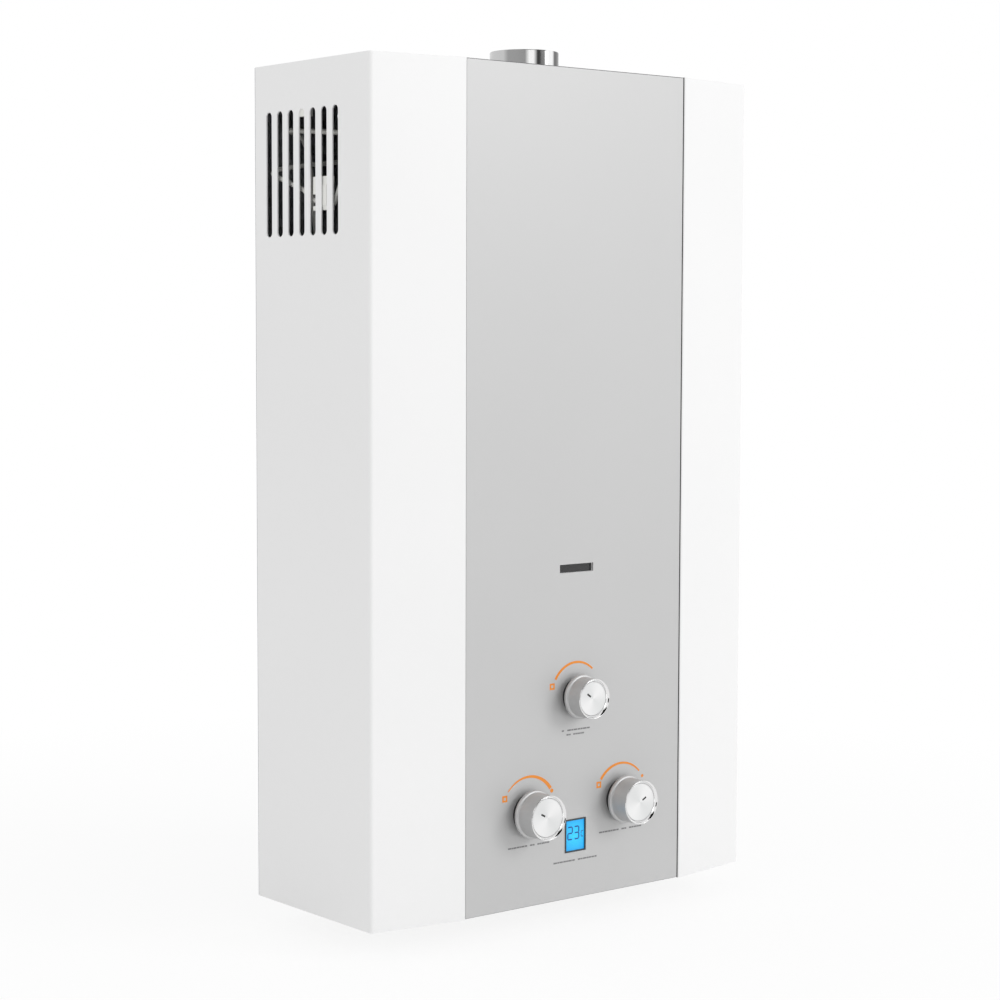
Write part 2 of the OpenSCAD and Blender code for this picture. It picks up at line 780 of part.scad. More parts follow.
module pipe(route, dia, bend, n) {
    tube_along([for (p = bent(route, bend)) on_wall(p)], dia, n);
}

// Simple solids placed by x, depth and height

module block(x, d, z) {
    translate(on_wall([x[0], d[1], z[0]])) cube([x[1] - x[0], d[1] - d[0], z[1] - z[0]]);
}
module rod_x(x, d, z, dia) {
    translate(on_wall([x[0], d, z])) rotate([0, 90, 0]) cylinder(h = x[1] - x[0], d = dia);
}
module rod_d(x, d, z, dia) {
    translate(on_wall([x, d[0], z])) rotate([90, 0, 0]) cylinder(h = d[1] - d[0], d = dia);
}
module rod_z(x, d, z, dia) {
    translate(on_wall([x, d, z[0]])) cylinder(h = z[1] - z[0], d = dia);
}
module hex_z(x, d, z) {
    translate(on_wall([x, d, z[0]])) cylinder(h = z[1] - z[0], d = hex_af / cos(30), $fn = 6);
}
module tall_block(x, d, z, r) {
    block([x[0] + r, x[1] - r], d, z);
    block(x, [d[0] + r, d[1] - r], z);
    for (px = [x[0] + r, x[1] - r]) for (pd = [d[0] + r, d[1] - r]) rod_z(px, pd, z, 2 * r);
}
module from_panel(x, z, d) {
    translate(on_wall([x, d, z])) rotate([90, 0, 0]) children();
}

// Casing

cover_path = [
    [-half_w, sheet], [-half_w, side_d], [-half_panel, front_d], [-half_panel, web_front],
    [half_panel, web_front], [half_panel, front_d], [half_w, side_d], [half_w, sheet]];
step_r = 0.4;
cover_outside = rounded(cover_path, [bend_r, fold_r, step_r, step_r, fold_r, bend_r]);
tight_r = max(fold_r - sheet, 0.1);
cover_inside = rounded(shifted(cover_path, sheet),
    [bend_r - sheet, tight_r, step_r + sheet, step_r + sheet, tight_r, bend_r - sheet]);
flange_inside = [
    [half_w - flange_w, sheet], [half_w - flange_w, side_d - flange_w],
    [flange_w - half_w, side_d - flange_w], [flange_w - half_w, sheet]];

module cover_screw_places() {
    for (x = [-cover_screw_x, cover_screw_x]) {
        translate(on_wall([x, cover_screw_at, 0])) rotate([180, 0, 0]) children();
        translate(on_wall([x, cover_screw_at, case_h])) children();
    }
}
module collar_screw_places() {
    for (a = [0:90:270])
        translate(on_wall([0, flue_d, case_h - sheet + collar_t]))
            rotate([0, 0, a]) translate([collar_screw_r, 0, 0]) children();
}
module screw_hole() {
    translate([0, 0, -screw_len]) cylinder(h = screw_len + over, d = screw_d + 2 * screw_play);
}
module panel_openings() {
    reach = [web_back - over, panel_face + over];
    rod_d(0, reach, season_z, knob_hole_d);
    for (s = [-1, 1]) rod_d(s * knob_x, reach, knob_z, knob_hole_d);
    block([-sight_w / 2, sight_w / 2], reach, [sight_z - sight_h / 2, sight_z + sight_h / 2]);
    block([-lcd_w / 2 - lcd_rim, lcd_w / 2 + lcd_rim], reach,
        [lcd_z - lcd_h / 2 - lcd_rim, lcd_z + lcd_h / 2 + lcd_rim]);
}
module vent_slot(s, d) {
    x = s < 0 ? [-half_w - over, -half_w + sheet + over] : [half_w - sheet - over, half_w + over];
    block(x, [d - slot_w / 2, d + slot_w / 2], [slot_low, slot_top]);
    for (z = [slot_low, slot_top]) rod_x(x, d, z, slot_w);
}

module back_plate() {
    edge = plate_gap;
    color("gainsboro") difference() {
        union() {
            block([-half_w + edge, half_w - edge], [0, sheet], [edge, case_h - edge]);
            for (s = [-1, 1]) back_rib(s, 0, rib_deep + sheet, sheet);
        }
        for (s = [-1, 1]) back_rib(s, -over, rib_deep, 0);
        for (sx = [-1, 1]) for (sz = [-1, 1])
            rod_d(sx * bolt_x / 2, [-over, sheet + over], mid_z + sz * bolt_z / 2, bolt_hole);
    }
}
module back_rib(s, from, to, grow) {
    z = mid_z + s * (bolt_z / 2 - rib_from_bolts);
    block([-rib_len / 2 - grow, rib_len / 2 + grow], [from, to], [z - rib_w / 2 - grow, z + rib_w / 2 + grow]);
}

module front_cover() {
    section = in_plan(concat(cover_outside, reversed(cover_inside)));
    flange = in_plan(concat(cover_outside, flange_inside));
    color("white") difference() {
        union() {
            translate(on_wall([0, 0, 0])) linear_extrude(case_h) polygon(section);
            for (z = [0, case_h - sheet]) translate(on_wall([0, 0, z])) linear_extrude(sheet) polygon(flange);
        }
        for (s = [-1, 1]) for (i = [0:slot_n - 1]) vent_slot(s, slot_first + i * slot_pitch);
        panel_openings();
        cover_screw_places() screw_hole();
        rod_z(0, flue_d, [roof_z, case_h + over], collar_flange_d + 2 * plate_gap);
    }
}

module front_panel() {
    color("silver") difference() {
        block([-half_panel + panel_gap, half_panel - panel_gap], [web_front, panel_face],
            [panel_gap, case_h - panel_gap]);
        panel_openings();
    }
}

module top_plate() {
    color("gainsboro") difference() {
        union() {
            block([-plate_half, plate_half], [sheet, plate_front], [roof_z, roof_z + sheet]);
            block([-plate_half, plate_half], [sheet, 2 * sheet], [roof_z - turn_h, roof_z]);
        }
        rod_z(0, flue_d, [roof_z - over, case_h], spigot_d + 2 * spigot_play);
        cover_screw_places() screw_hole();
        collar_screw_places() screw_hole();
        for (x = [-bolt_x / 2, bolt_x / 2])
            rod_d(x, [0, 2 * sheet + over], mid_z + bolt_z / 2, bolt_hole + 2 * over);
    }
}

module bottom_plate() {
    color("gainsboro") difference() {
        union() {
            block([-plate_half, plate_half], [sheet, plate_front], [sheet, floor_z]);
            block([-plate_half, plate_half], [sheet, 2 * sheet], [floor_z, floor_z + turn_h]);
        }
        for (place = [[-port_x, valve_d], [port_x, valve_d], [hot_x, hot_d]])
            rod_z(place[0], place[1], [0, floor_z + over], shank_d + 2 * thread_play);
        rod_z(knob_x, valve_d, [0, floor_z + over], drain_d + 4 * thread_play);
        rod_z(gland_at_x, gland_at, [0, floor_z + over], gland_d + 2 * screw_play);
        cover_screw_places() screw_hole();
        for (x = [-bolt_x / 2, bolt_x / 2])
            rod_d(x, [0, 2 * sheet + over], mid_z - bolt_z / 2, bolt_hole + 2 * over);
    }
}

module case_screw() {
    cross_w = screw_d / 4;
    difference() {
        rotate_extrude() polygon([
            [0, -screw_len], [screw_d / 2, -screw_len], [screw_d / 2, 0], [screw_head_d / 2, 0],
            [screw_head_d / 2, screw_head_h / 2], [screw_head_d / 2 - screw_head_h / 2, screw_head_h],
            [0, screw_head_h]]);
        for (a = [0, 90]) rotate([0, 0, a])
            translate([-screw_d / 2, -cross_w / 2, screw_head_h / 2]) cube([screw_d, cross_w, screw_head_h]);
    }
}
module case_screws() {
    color("silver") {
        cover_screw_places() case_screw();
        collar_screw_places() case_screw();
    }
}

module sight_glass() {
    color([0.25, 0.25, 0.27]) block(
        [-sight_w / 2 - glass_lap, sight_w / 2 + glass_lap], [web_back - glass_t, web_back],
        [sight_z - sight_h / 2 - glass_lap, sight_z + sight_h / 2 + glass_lap]);
}

// Display

module lcd_block(grow, d) {
    block([-lcd_w / 2 - grow, lcd_w / 2 + grow], d, [lcd_z - lcd_h / 2 - grow, lcd_z + lcd_h / 2 + grow]);
}
lens_face = panel_face - lcd_proud;
module display_frame() {
    color("dimgray") difference() {
        union() {
            lcd_block(lcd_rim, [web_back, panel_face + lcd_proud]);
            lcd_block(lcd_rim + lcd_lap, [web_back - sheet, web_back]);
        }
        lcd_block(0, [web_back - sheet - over, panel_face + lcd_proud + over]);
    }
}
module display_lens() {
    color("deepskyblue") lcd_block(0, [lens_face - lens_t, lens_face]);
}
module display_module() {
    color("darkgreen") {
        lcd_block(lcd_rim + lcd_lap, [web_back - sheet - lcd_deep, web_back - sheet]);
        lcd_block(-plate_gap, [web_back - sheet, lens_face - lens_t]);
    }
}

// Knobs and spindles

module knob(dia, flange_dia, high) {
    r = dia / 2;
    flange_r = flange_dia / 2;
    round_off = 0.5;
    edge = 0.3;
    hollow_r = r - knob_wall;
    cap_r = r - knob_bevel;
    seat = high - face_deep - cap_t;
    ceiling = seat - knob_wall;
    bore_top = ceiling - end_play;
    bore_r = spindle_d / 2 + run_play;
    rotate_extrude() polygon([
        [bore_r, end_play], [hub_d / 2, end_play], [hub_d / 2, ceiling], [hollow_r, ceiling], [hollow_r, 0],
        [flange_r - round_off, 0], [flange_r, round_off], [flange_r, knob_flange_h / 2],
        [flange_r - round_off, knob_flange_h - round_off], [r + round_off / 2, knob_flange_h],
        [r, knob_flange_h + round_off], [r, high - edge], [r - edge, high], [cap_r, high - face_deep],
        [cap_r, seat], [0, seat], [0, bore_top], [bore_r, bore_top]]);
}
module knob_cap(dia, rest, high) {
    r = dia / 2 - knob_bevel - cap_play;
    rim = 0.3;
    face = high - face_deep;
    rotate([0, 0, rest]) difference() {
        translate([0, 0, face - cap_t]) rotate_extrude() polygon([
            [0, 0], [r, 0], [r, cap_t - rim], [r - rim, cap_t], [0, cap_t]]);
        translate([pointer_from, -pointer_w / 2, face - pointer_deep])
            cube([pointer_len, pointer_w, pointer_deep + over]);
    }
}
module spindle(x, z, plug, high) {
    tip = knob_back + high - face_deep - cap_t - knob_wall - 2 * end_play;
    rod_d(x, [valve_front - packing - run_play, tip], z, spindle_d);
    rod_d(x, [valve_front - packing - plug, valve_front - packing - run_play], z, plug_d);
}
module spindle_bore(x, z, plug) {
    rod_d(x, [valve_front - packing - over, valve_front + over], z, spindle_d + 2 * run_play);
    rod_d(x, [valve_front - packing - plug - end_play, valve_front - packing], z, plug_d + 2 * run_play);
}
module gas_knob() { color("silver") from_panel(-knob_x, knob_z, knob_back) knob(knob_d, knob_flange_d, knob_h); }
module gas_knob_cap() {
    color("whitesmoke") from_panel(-knob_x, knob_z, knob_back) knob_cap(knob_d, gas_rest, knob_h);
}
module gas_spindle() { color("goldenrod") spindle(-knob_x, knob_z, plug_len, knob_h); }
module water_knob() { color("silver") from_panel(knob_x, knob_z, knob_back) knob(knob_d, knob_flange_d, knob_h); }
module water_knob_cap() {
    color("whitesmoke") from_panel(knob_x, knob_z, knob_back) knob_cap(knob_d, water_rest, knob_h);
}
module water_spindle() { color("goldenrod") spindle(knob_x, knob_z, plug_len, knob_h); }
module season_knob() {
    color("silver") from_panel(0, season_z, knob_back) knob(season_knob_d, season_flange_d, season_knob_h);
}
module season_knob_cap() {
    color("whitesmoke") from_panel(0, season_z, knob_back) knob_cap(season_knob_d, season_rest, season_knob_h);
}
module season_spindle() { color("goldenrod") spindle(0, season_z, season_plug_len, season_knob_h); }
module knob_bush(x, z, flange_dia) {
    difference() {
        union() {
            rod_d(x, [panel_face, bush_face], z, flange_dia - 2 * bush_in);
            rod_d(x, [web_back, bush_face], z, knob_hole_d - 2 * plate_gap);
        }
        rod_d(x, [web_back - over, bush_face + over], z, hub_d);
    }
}
module knob_bushes() {
    color("black") {
        for (s = [-1, 1]) knob_bush(s * knob_x, knob_z, knob_flange_d);
        knob_bush(0, season_z, season_flange_d);
    }
}

// Gas side

solenoid_plate_t = 3;
solenoid_plate_left = gas_left - solenoid_plate_t;
module gas_valve_body() {
    lug_x = [gas_right - 10, gas_right];
    color("lightgray") difference() {
        union() {
            rod_x([gas_left, gas_right], valve_d, knob_z, barrel_d);
            rod_d(-knob_x, [valve_d, valve_front], knob_z, boss_d);
            rod_z(-knob_x, riser_d, [knob_z, port_top], leg_d);
            rod_z(-port_x, valve_d, [port_low, knob_z], port_d);
            block(lug_x, [valve_d - switch_w / 2, valve_d + switch_w / 2], [knob_z, switch_z + switch_h]);
        }
        rod_x([gas_left - over, partition_x], valve_d, knob_z, room_d);
        rod_x([partition_x - over, seat_x], valve_d, knob_z, throat_d);
        rod_x([partition_x + partition_t, seat_x], valve_d, knob_z, room_d - 2 * partition_t);
        rod_x([seat_x - over, gland_x], valve_d, knob_z, throat_d);
        rod_x([gland_x - over, gas_right + over], valve_d, knob_z, rod_d + 2 * run_play);
        spindle_bore(-knob_x, knob_z, plug_len);
        rod_d(-knob_x, [valve_d, plug_end], knob_z, plug_d / 2);
        rod_z(-knob_x, riser_d, [knob_z, port_top + over], leg_bore);
        rod_z(-port_x, valve_d, [port_low - over, knob_z], port_bore);
    }
}

// A male pipe stub that hangs from the bottom plate by its collar and locknut
module fitting(x, d, top) {
    difference() {
        union() {
            rod_z(x, d, [-stub_down, nut_low], thread_d);
            rod_z(x, d, [nut_low, floor_z], shank_d);
            hex_z(x, d, [floor_z, floor_z + collar_h]);
            rod_z(x, d, [floor_z + collar_h, top], thread_d);
        }
        rod_z(x, d, [-stub_down - over, top + over], fitting_bore);
    }
}
module gas_inlet_fitting() { color("goldenrod") fitting(-port_x, valve_d, port_low); }
module water_inlet_fitting() { color("goldenrod") fitting(port_x, valve_d, port_low); }
module water_outlet_fitting() { color("goldenrod") fitting(hot_x, hot_d, hot_fit_h); }
module pipe_locknuts() {
    color("silver") for (place = [[-port_x, valve_d], [port_x, valve_d], [hot_x, hot_d]])
        difference() {
            hex_z(place[0], place[1], [nut_low, sheet]);
            rod_z(place[0], place[1], [nut_low - over, sheet + over], shank_d + 2 * screw_play);
        }
}

module solenoid_coil() {
    plate = barrel_d / 2;
    color("dimgray") difference() {
        union() {
            block([solenoid_plate_left, gas_left], [valve_d - plate, valve_d + plate],
                [knob_z - plate, knob_z + plate]);
            rod_x([solenoid_plate_left - solenoid_len, solenoid_plate_left], valve_d, knob_z, solenoid_d);
        }
        rod_x([solenoid_plate_left - solenoid_len + solenoid_plate_t, gas_left + over], valve_d, knob_z,
            plunger_d + 2 * run_play);
    }
}
module solenoid_plunger() {
    disc = partition_x - seat_gap;
    deep = solenoid_plate_left - solenoid_len + solenoid_plate_t + plunger_travel + end_play;
    color("silver") {
        rod_x([deep, disc - shutter_t], valve_d, knob_z, plunger_d);
        rod_x([disc - shutter_t, disc], valve_d, knob_z, shutter_d);
    }
}

module gas_manifold() {
    z = [season_z - manifold_h / 2, season_z + manifold_h / 2];
    color("lightgray") difference() {
        union() {
            block([-bars_half, bars_half], [manifold_back, valve_front], z);
            rod_z(-knob_x, riser_d, [port_top, season_z], leg_d);
        }
        spindle_bore(0, season_z, season_plug_len);
        rod_z(-knob_x, riser_d, [port_top - over, season_z], leg_bore);
    }
}
function bar_x(i) = (i + 0.5) * bar_pitch - bars_half;
module gas_nozzles() {
    tip = manifold_back - nozzle_len;
    color("goldenrod") for (i = [0:bar_n - 1]) {
        rod_d(bar_x(i), [frame_front - sheet, manifold_back], season_z, nozzle_d);
        rod_d(bar_x(i), [tip, frame_front - sheet], season_z, nozzle_tip_d);
    }
}
module burner_bar(x) {
    d = [frame_back + sheet, frame_front - sheet];
    difference() {
        union() {
            rod_d(x, [d[1] - inlet_len, d[1]], season_z, inlet_d);
            block([x - bar_web / 2, x + bar_web / 2], d, [season_z, bar_top - bar_head_h]);
            block([x - bar_t / 2, x + bar_t / 2], d, [bar_top - bar_head_h, bar_top]);
        }
        rod_d(x, [d[1] - inlet_len + over, d[1] + over], season_z, inlet_bore);
        block([x - flame_slot / 2, x + flame_slot / 2], [d[0] + bar_t / 2, d[1] - bar_t / 2],
            [bar_top - bar_head_h / 2, bar_top + over]);
    }
}
module burner_bars() { color("silver") for (i = [0:bar_n - 1]) burner_bar(bar_x(i)); }
module burner_frame() {
    out = [-bars_half - sheet, bars_half + sheet];
    room = [-bars_half, bars_half];
    room_z = [season_z - frame_down - over, deck_z + over];
    color("gray") difference() {
        union() {
            block(out, [frame_back, frame_front], [season_z - frame_down, deck_z]);
            tall_block([-shell_half, shell_half], [shell_back, shell_front], [deck_z - sheet, deck_z], shell_r);
        }
        block(room, [frame_back + sheet, frame_front - sheet], room_z);
        for (i = [0:bar_n - 1])
            rod_d(bar_x(i), [frame_front - sheet - over, frame_front + over], season_z, nozzle_d + nozzle_play);
        for (s = [-1, 1]) rod_d(s * electrode_x, [frame_front - sheet - over, frame_front + over], electrode_z,
            ceramic_d + 2 * tube_play);
    }
}
module burner_electrodes() {
    half = electrode_flange / 2;
    color("white") for (s = [-1, 1]) {
        rod_d(s * electrode_x, [frame_front - ceramic_in, frame_front + ceramic_out], electrode_z, ceramic_d);
        rod_d(s * electrode_x, [frame_front - ceramic_in - tip_len, frame_front - ceramic_in], electrode_z, tip_d);
        block([s * electrode_x - half, s * electrode_x + half], [frame_front, frame_front + sheet],
            [electrode_z - electrode_flange + ceramic_d / 2, electrode_z + ceramic_d / 2]);
    }
}

// Water side

module valve_screw_places() {
    for (a = [45:90:315]) rotate([a, 0, 0]) translate([0, 0, valve_screw_r]) rotate([0, 90, 0]) children();
}
module at_valve_axis(x) {
    translate(on_wall([x, valve_d, knob_z])) children();
}
module valve_screw_holes() {
    at_valve_axis(cover_x - over) valve_screw_places()
        cylinder(h = water_left + water_flange_t - cover_x + 2 * over, d = valve_screw_d + 2 * screw_play);
}
module water_valve_body() {
    drain_top = knob_z - barrel_d / 4;
    color("darkgoldenrod") difference() {
        union() {
            rod_x([water_left, water_left + water_flange_t], valve_d, knob_z, diaphragm_d);
            rod_x([water_left, water_right], valve_d, knob_z, barrel_d);
            rod_d(knob_x, [valve_d, valve_front], knob_z, boss_d);
            rod_z(port_x, valve_d, [port_low, port_top], port_d);
            rod_z(knob_x, valve_d, [port_low, knob_z], drain_head_d);
        }
        rod_x([water_left - over, water_left + water_flange_t - over], valve_d, knob_z, diaphragm_room_d);
        rod_x([water_left, port_x], valve_d, knob_z, throat_d);
        rod_z(port_x, valve_d, [port_low - over, port_top + over], port_bore);
        spindle_bore(knob_x, knob_z, plug_len);
        rod_d(knob_x, [valve_d, plug_end], knob_z, plug_d / 2);
        rod_z(knob_x, valve_d, [port_low - over, drain_top], drain_d + 2 * run_play);
        valve_screw_holes();
    }
}
module water_valve_cover() {
    color("darkgoldenrod") difference() {
        rod_x([cover_x, diaphragm_x], valve_d, knob_z, diaphragm_d);
        rod_x([diaphragm_x - diaphragm_room_t, diaphragm_x + over], valve_d, knob_z, diaphragm_room_d);
        rod_x([cover_x - over, diaphragm_x], valve_d, knob_z, rod_d + 2 * run_play);
        valve_screw_holes();
    }
}
module diaphragm() {
    color([0.15, 0.15, 0.15]) difference() {
        rod_x([diaphragm_x, water_left], valve_d, knob_z, diaphragm_d);
        valve_screw_holes();
    }
}
module valve_screws() {
    head = valve_screw_d / 2;
    color("silver") at_valve_axis(cover_x) valve_screw_places() {
        cylinder(h = water_left + water_flange_t - cover_x, d = valve_screw_d);
        translate([0, 0, -head]) cylinder(h = head, d = 2 * valve_screw_d);
    }
}
module push_rod() {
    plate_right = diaphragm_x - seat_gap;
    disc = seat_x - seat_gap;
    color("gold") {
        rod_x([disc, plate_right], valve_d, knob_z, rod_d);
        rod_x([plate_right - plate_t, plate_right], valve_d, knob_z, plate_d);
        rod_x([trip_x, trip_x + trip_t], valve_d, knob_z, trip_d);
        rod_x([disc - shutter_t, disc], valve_d, knob_z, shutter_d);
    }
}
module shutter_spring() {
    from = partition_x + partition_t + spring_wire / 2;
    to = seat_x - seat_gap - shutter_t - spring_wire / 2;
    steps = 10 * spring_turns;
    color("silver") tube_along([for (i = [0:steps]) on_wall([
        from + (to - from) * i / steps,
        valve_d + spring_d / 2 * cos(360 * spring_turns * i / steps),
        knob_z + spring_d / 2 * sin(360 * spring_turns * i / steps)])], spring_wire, 6);
}
module drain_plug() {
    grip = drain_head_d / 4;
    head_top = -drain_gap;
    color("gold") {
        rod_z(knob_x, valve_d, [head_top - drain_head_h, knob_z - barrel_d / 4 - end_play], drain_d);
        rod_z(knob_x, valve_d, [head_top - drain_head_h / 2, head_top], drain_head_d);
        block([knob_x - drain_head_d / 2, knob_x + drain_head_d / 2],
            [valve_d - grip / 2, valve_d + grip / 2], [head_top - drain_head_h, head_top - drain_head_h / 2]);
    }
}
module flow_switch() {
    half = switch_w / 2;
    x = [gas_right, gas_right + switch_len];
    ear_x = [lever_x - lever_hub_d / 2, lever_x + lever_hub_d / 2];
    ear_z = [lever_z - lever_hub_d / 2, switch_z];
    color("dimgray") difference() {
        union() {
            block(x, [valve_d - half, valve_d + half], [switch_z, switch_z + switch_h]);
            block(ear_x, [valve_d - half, valve_d - half + ear_t], ear_z);
            block(ear_x, [valve_d + half - ear_t, valve_d + half], ear_z);
        }
        rod_d(lever_x, [valve_d - half - over, valve_d + half + over], lever_z, lever_pin_d + 2 * run_play);
    }
}
module flow_switch_lever() {
    hub = [valve_d - lever_w / 2, valve_d + lever_w / 2];
    pin = [valve_d - switch_w / 2, valve_d + switch_w / 2];
    color("silver") {
        rod_d(lever_x, hub, lever_z, lever_hub_d);
        rod_d(lever_x, pin, lever_z, lever_pin_d);
        block([lever_x - lever_t / 2, lever_x + lever_t / 2], hub, [lever_low, lever_z]);
    }
}
module cold_pipe() { color([0.8, 0.5, 0.3]) pipe(cold_route, coil_d, pipe_bend, 10); }
module hot_pipe() { color([0.8, 0.5, 0.3]) pipe(hot_route, coil_d, pipe_bend, 10); }

// Heat exchanger

function tube_at(i) = shell_front - tube_edge - i * tube_step;
module tube_holes(x) {
    for (i = [0:tube_n - 1]) rod_x(x, tube_at(i), tube_z, tube_d + 2 * tube_play);
}
module combustion_shell() {
    color([0.85, 0.55, 0.35]) difference() {
        tall_block([-shell_half, shell_half], [shell_back, shell_front], [deck_z, shell_top], shell_r);
        tall_block([-shell_half + sheet, shell_half - sheet], [shell_back + sheet, shell_front - sheet],
            [deck_z - over, shell_top + over], shell_r - sheet);
        block([-sight_w / 2 - glass_lap, sight_w / 2 + glass_lap], [shell_front - sheet - over, shell_front + over],
            [deck_z + sheet, sight_z + sight_h]);
        tube_holes([-shell_half - over, shell_half + over]);
    }
}
module shell_coil() { color([0.8, 0.5, 0.3]) pipe(coil_route, coil_d, coil_bend, 8); }
module exchanger_fins() {
    reach = shell_half - fin_edge;
    n = floor(2 * reach / fin_pitch);
    color([0.85, 0.55, 0.35]) for (i = [0:n]) let (x = (i - n / 2) * fin_pitch)
        difference() {
            block([x - fin_t / 2, x + fin_t / 2], [shell_back + sheet + fin_gap, shell_front - sheet - fin_gap],
                [tube_z - fin_h / 2, tube_z + fin_h / 2]);
            tube_holes([x - fin_t, x + fin_t]);
        }
}
module exchanger_tubes() {
    turn_x = shell_half + tube_out;
    end_x = shell_half + tube_end;
    color([0.8, 0.5, 0.3]) for (i = [0:tube_n - 1]) {
        left = i == tube_n - 1 ? end_x : turn_x;
        right = i == 0 ? end_x : turn_x;
        rod_x([-left, right], tube_at(i), tube_z, tube_d);
        if (i < tube_n - 1) tube_turn(i % 2 == 0 ? -1 : 1, (tube_at(i) + tube_at(i + 1)) / 2);
    }
}
module tube_turn(s, d) {
    translate(on_wall([s * (shell_half + tube_out), d, tube_z])) rotate([0, 0, s < 0 ? 90 : -90])
        rotate_extrude(angle = 180) translate([tube_step / 2, 0]) circle(d = tube_d);
}
module support_bracket(x, z, to) {
    wide = [x - bracket_w / 2, x + bracket_w / 2];
    block(wide, [sheet, sheet + bracket_t], [z - bracket_half, z + bracket_half]);
    block(wide, [sheet, to], [z - bracket_t, z + bracket_t]);
    block(wide, [to - bracket_t, to], [z - bracket_half, z + bracket_half]);
}
module support_brackets() {
    color("gray") for (s = [-1, 1]) {
        support_bracket(s * bracket_x, tube_z, shell_back);
        support_bracket(s * bracket_x, (season_z + deck_z) / 2, frame_back);
    }
}
module overheat_switch() {
    z = tube_z - cutout_down;
    d = (shell_back + shell_front) / 2;
    color("tan") {
        rod_x([-shell_half - cutout_h, -shell_half], d, z, cutout_d);
        for (s = [-1, 1]) block([-shell_half - cutout_h - sheet * 4, -shell_half - cutout_h],
            [d + s * cutout_d / 4 - sheet, d + s * cutout_d / 4 + sheet], [z - sheet / 2, z + sheet / 2]);
    }
}

// Fan and flue

hood_left = fan_x - duct_half - over;
hood_right = shell_half / 2;
duct_front = shell_front - sheet;
module hood_shape(wall) {
    bottom = shell_half - wall;
    translate(on_wall([0, shell_back + wall, shell_top])) rotate([90, 0, 0])
        linear_extrude(shell_front - shell_back - 2 * wall) polygon([
            [-bottom, -wall], [bottom, -wall], [bottom, 0], [hood_right - wall, hood_h - wall],
            [hood_left + wall, hood_h - wall], [-bottom, 0]]);
}
module flue_hood() {
    duct_top = fan_z + fan_r - fan_gap;
    inner = duct_half - sheet;
    color("silver") difference() {
        union() {
            hood_shape(0);
            block([fan_x - duct_half, fan_x + duct_half], [fan_front, duct_front], [hood_top, duct_top]);
        }
        hood_shape(sheet);
        block([fan_x - inner, fan_x + inner], [fan_front - over, duct_front - sheet],
            [hood_top, duct_top - sheet]);
        block([fan_x - inner, fan_x + inner], [duct_front - duct_deep + sheet, duct_front - sheet],
            [hood_top - 2 * sheet, hood_top + over]);
    }
}
module scroll_solid(wall) {
    translate(on_wall([fan_x, fan_back + wall, fan_z])) rotate([90, 0, 0])
        linear_extrude(fan_w - 2 * wall) polygon(scroll_outline(wall));
}
module fan_housing() {
    foot_half = 0.7 * fan_r;
    color("gainsboro") difference() {
        union() {
            scroll_solid(0);
            block([fan_x - foot_half, fan_x + foot_half], [fan_back, fan_front], [hood_top, fan_z - tongue_r]);
        }
        scroll_solid(sheet);
        rod_d(fan_x, [fan_front - sheet - over, fan_front + over], fan_z, inlet_hole_d);
        rod_d(fan_x, [fan_back - over, fan_back + sheet + over], fan_z, fan_hub_d);
    }
}
module fan_impeller() {
    back = fan_back + sheet + fan_gap;
    front = fan_front - sheet - fan_gap;
    shaft_end = fan_back - motor_len + end_play;
    color("lightgray") difference() {
        union() {
            rod_d(fan_x, [back, back + blade_t], fan_z, 2 * fan_r);
            difference() {
                rod_d(fan_x, [front - blade_t, front], fan_z, 2 * fan_r);
                rod_d(fan_x, [front - blade_t - over, front + over], fan_z, 2 * (fan_r - blade_len));
            }
            for (i = [0:blade_n - 1]) translate(on_wall([fan_x, back, fan_z])) rotate([90, 0, 0])
                rotate([0, 0, 360 * i / blade_n]) translate([fan_r - blade_len, -blade_t / 2, 0])
                    cube([blade_len - blade_t / 2, blade_t, front - back]);
            rod_d(fan_x, [back, back + fan_hub_len], fan_z, fan_hub_d);
            rod_d(fan_x, [shaft_end, back + fan_hub_len + over], fan_z, shaft_d);
        }
    }
}
module fan_motor() {
    back = fan_back - motor_len;
    half = motor_flange / 2;
    rear_boss = 5;
    color("dimgray") difference() {
        union() {
            block([fan_x - half, fan_x + half], [fan_back - motor_flange_t, fan_back], [fan_z - half, fan_z + half]);
            rod_d(fan_x, [back + rear_boss, fan_back], fan_z, motor_d);
            rod_d(fan_x, [back, fan_back], fan_z, motor_d / 3);
        }
        rod_d(fan_x, [back - over, fan_back + over], fan_z, shaft_d + 2 * run_play);
    }
}
module flue_collar() {
    r = collar_d / 2;
    top = collar_up + sheet;
    spigot_r = spigot_d / 2;
    edge = collar_t / 2;
    color("silver") difference() {
        translate(on_wall([0, flue_d, case_h - sheet])) rotate_extrude() polygon([
            [spigot_r - collar_t, -spigot_len], [spigot_r, -spigot_len], [spigot_r, 0],
            [collar_flange_d / 2, 0], [collar_flange_d / 2, collar_t], [r, collar_t], [r, top - edge],
            [r - edge / 2, top], [r - collar_t, top], [r - collar_t, collar_t], [spigot_r - collar_t, collar_t]]);
        collar_screw_places() screw_hole();
    }
}
module draught_switch() {
    back = sheet + draught_post;
    color("whitesmoke") {
        rod_d(draught_x, [sheet, back], draught_z, draught_post_d);
        rod_d(draught_x, [back, back + draught_t], draught_z, draught_d);
        rod_d(draught_x, [back + draught_t, back + draught_t + 6], draught_z, draught_post_d);
    }
}
module draught_tube() { color("lightblue") pipe(draught_route, draught_tube_d, 12, 8); }

// Electrics

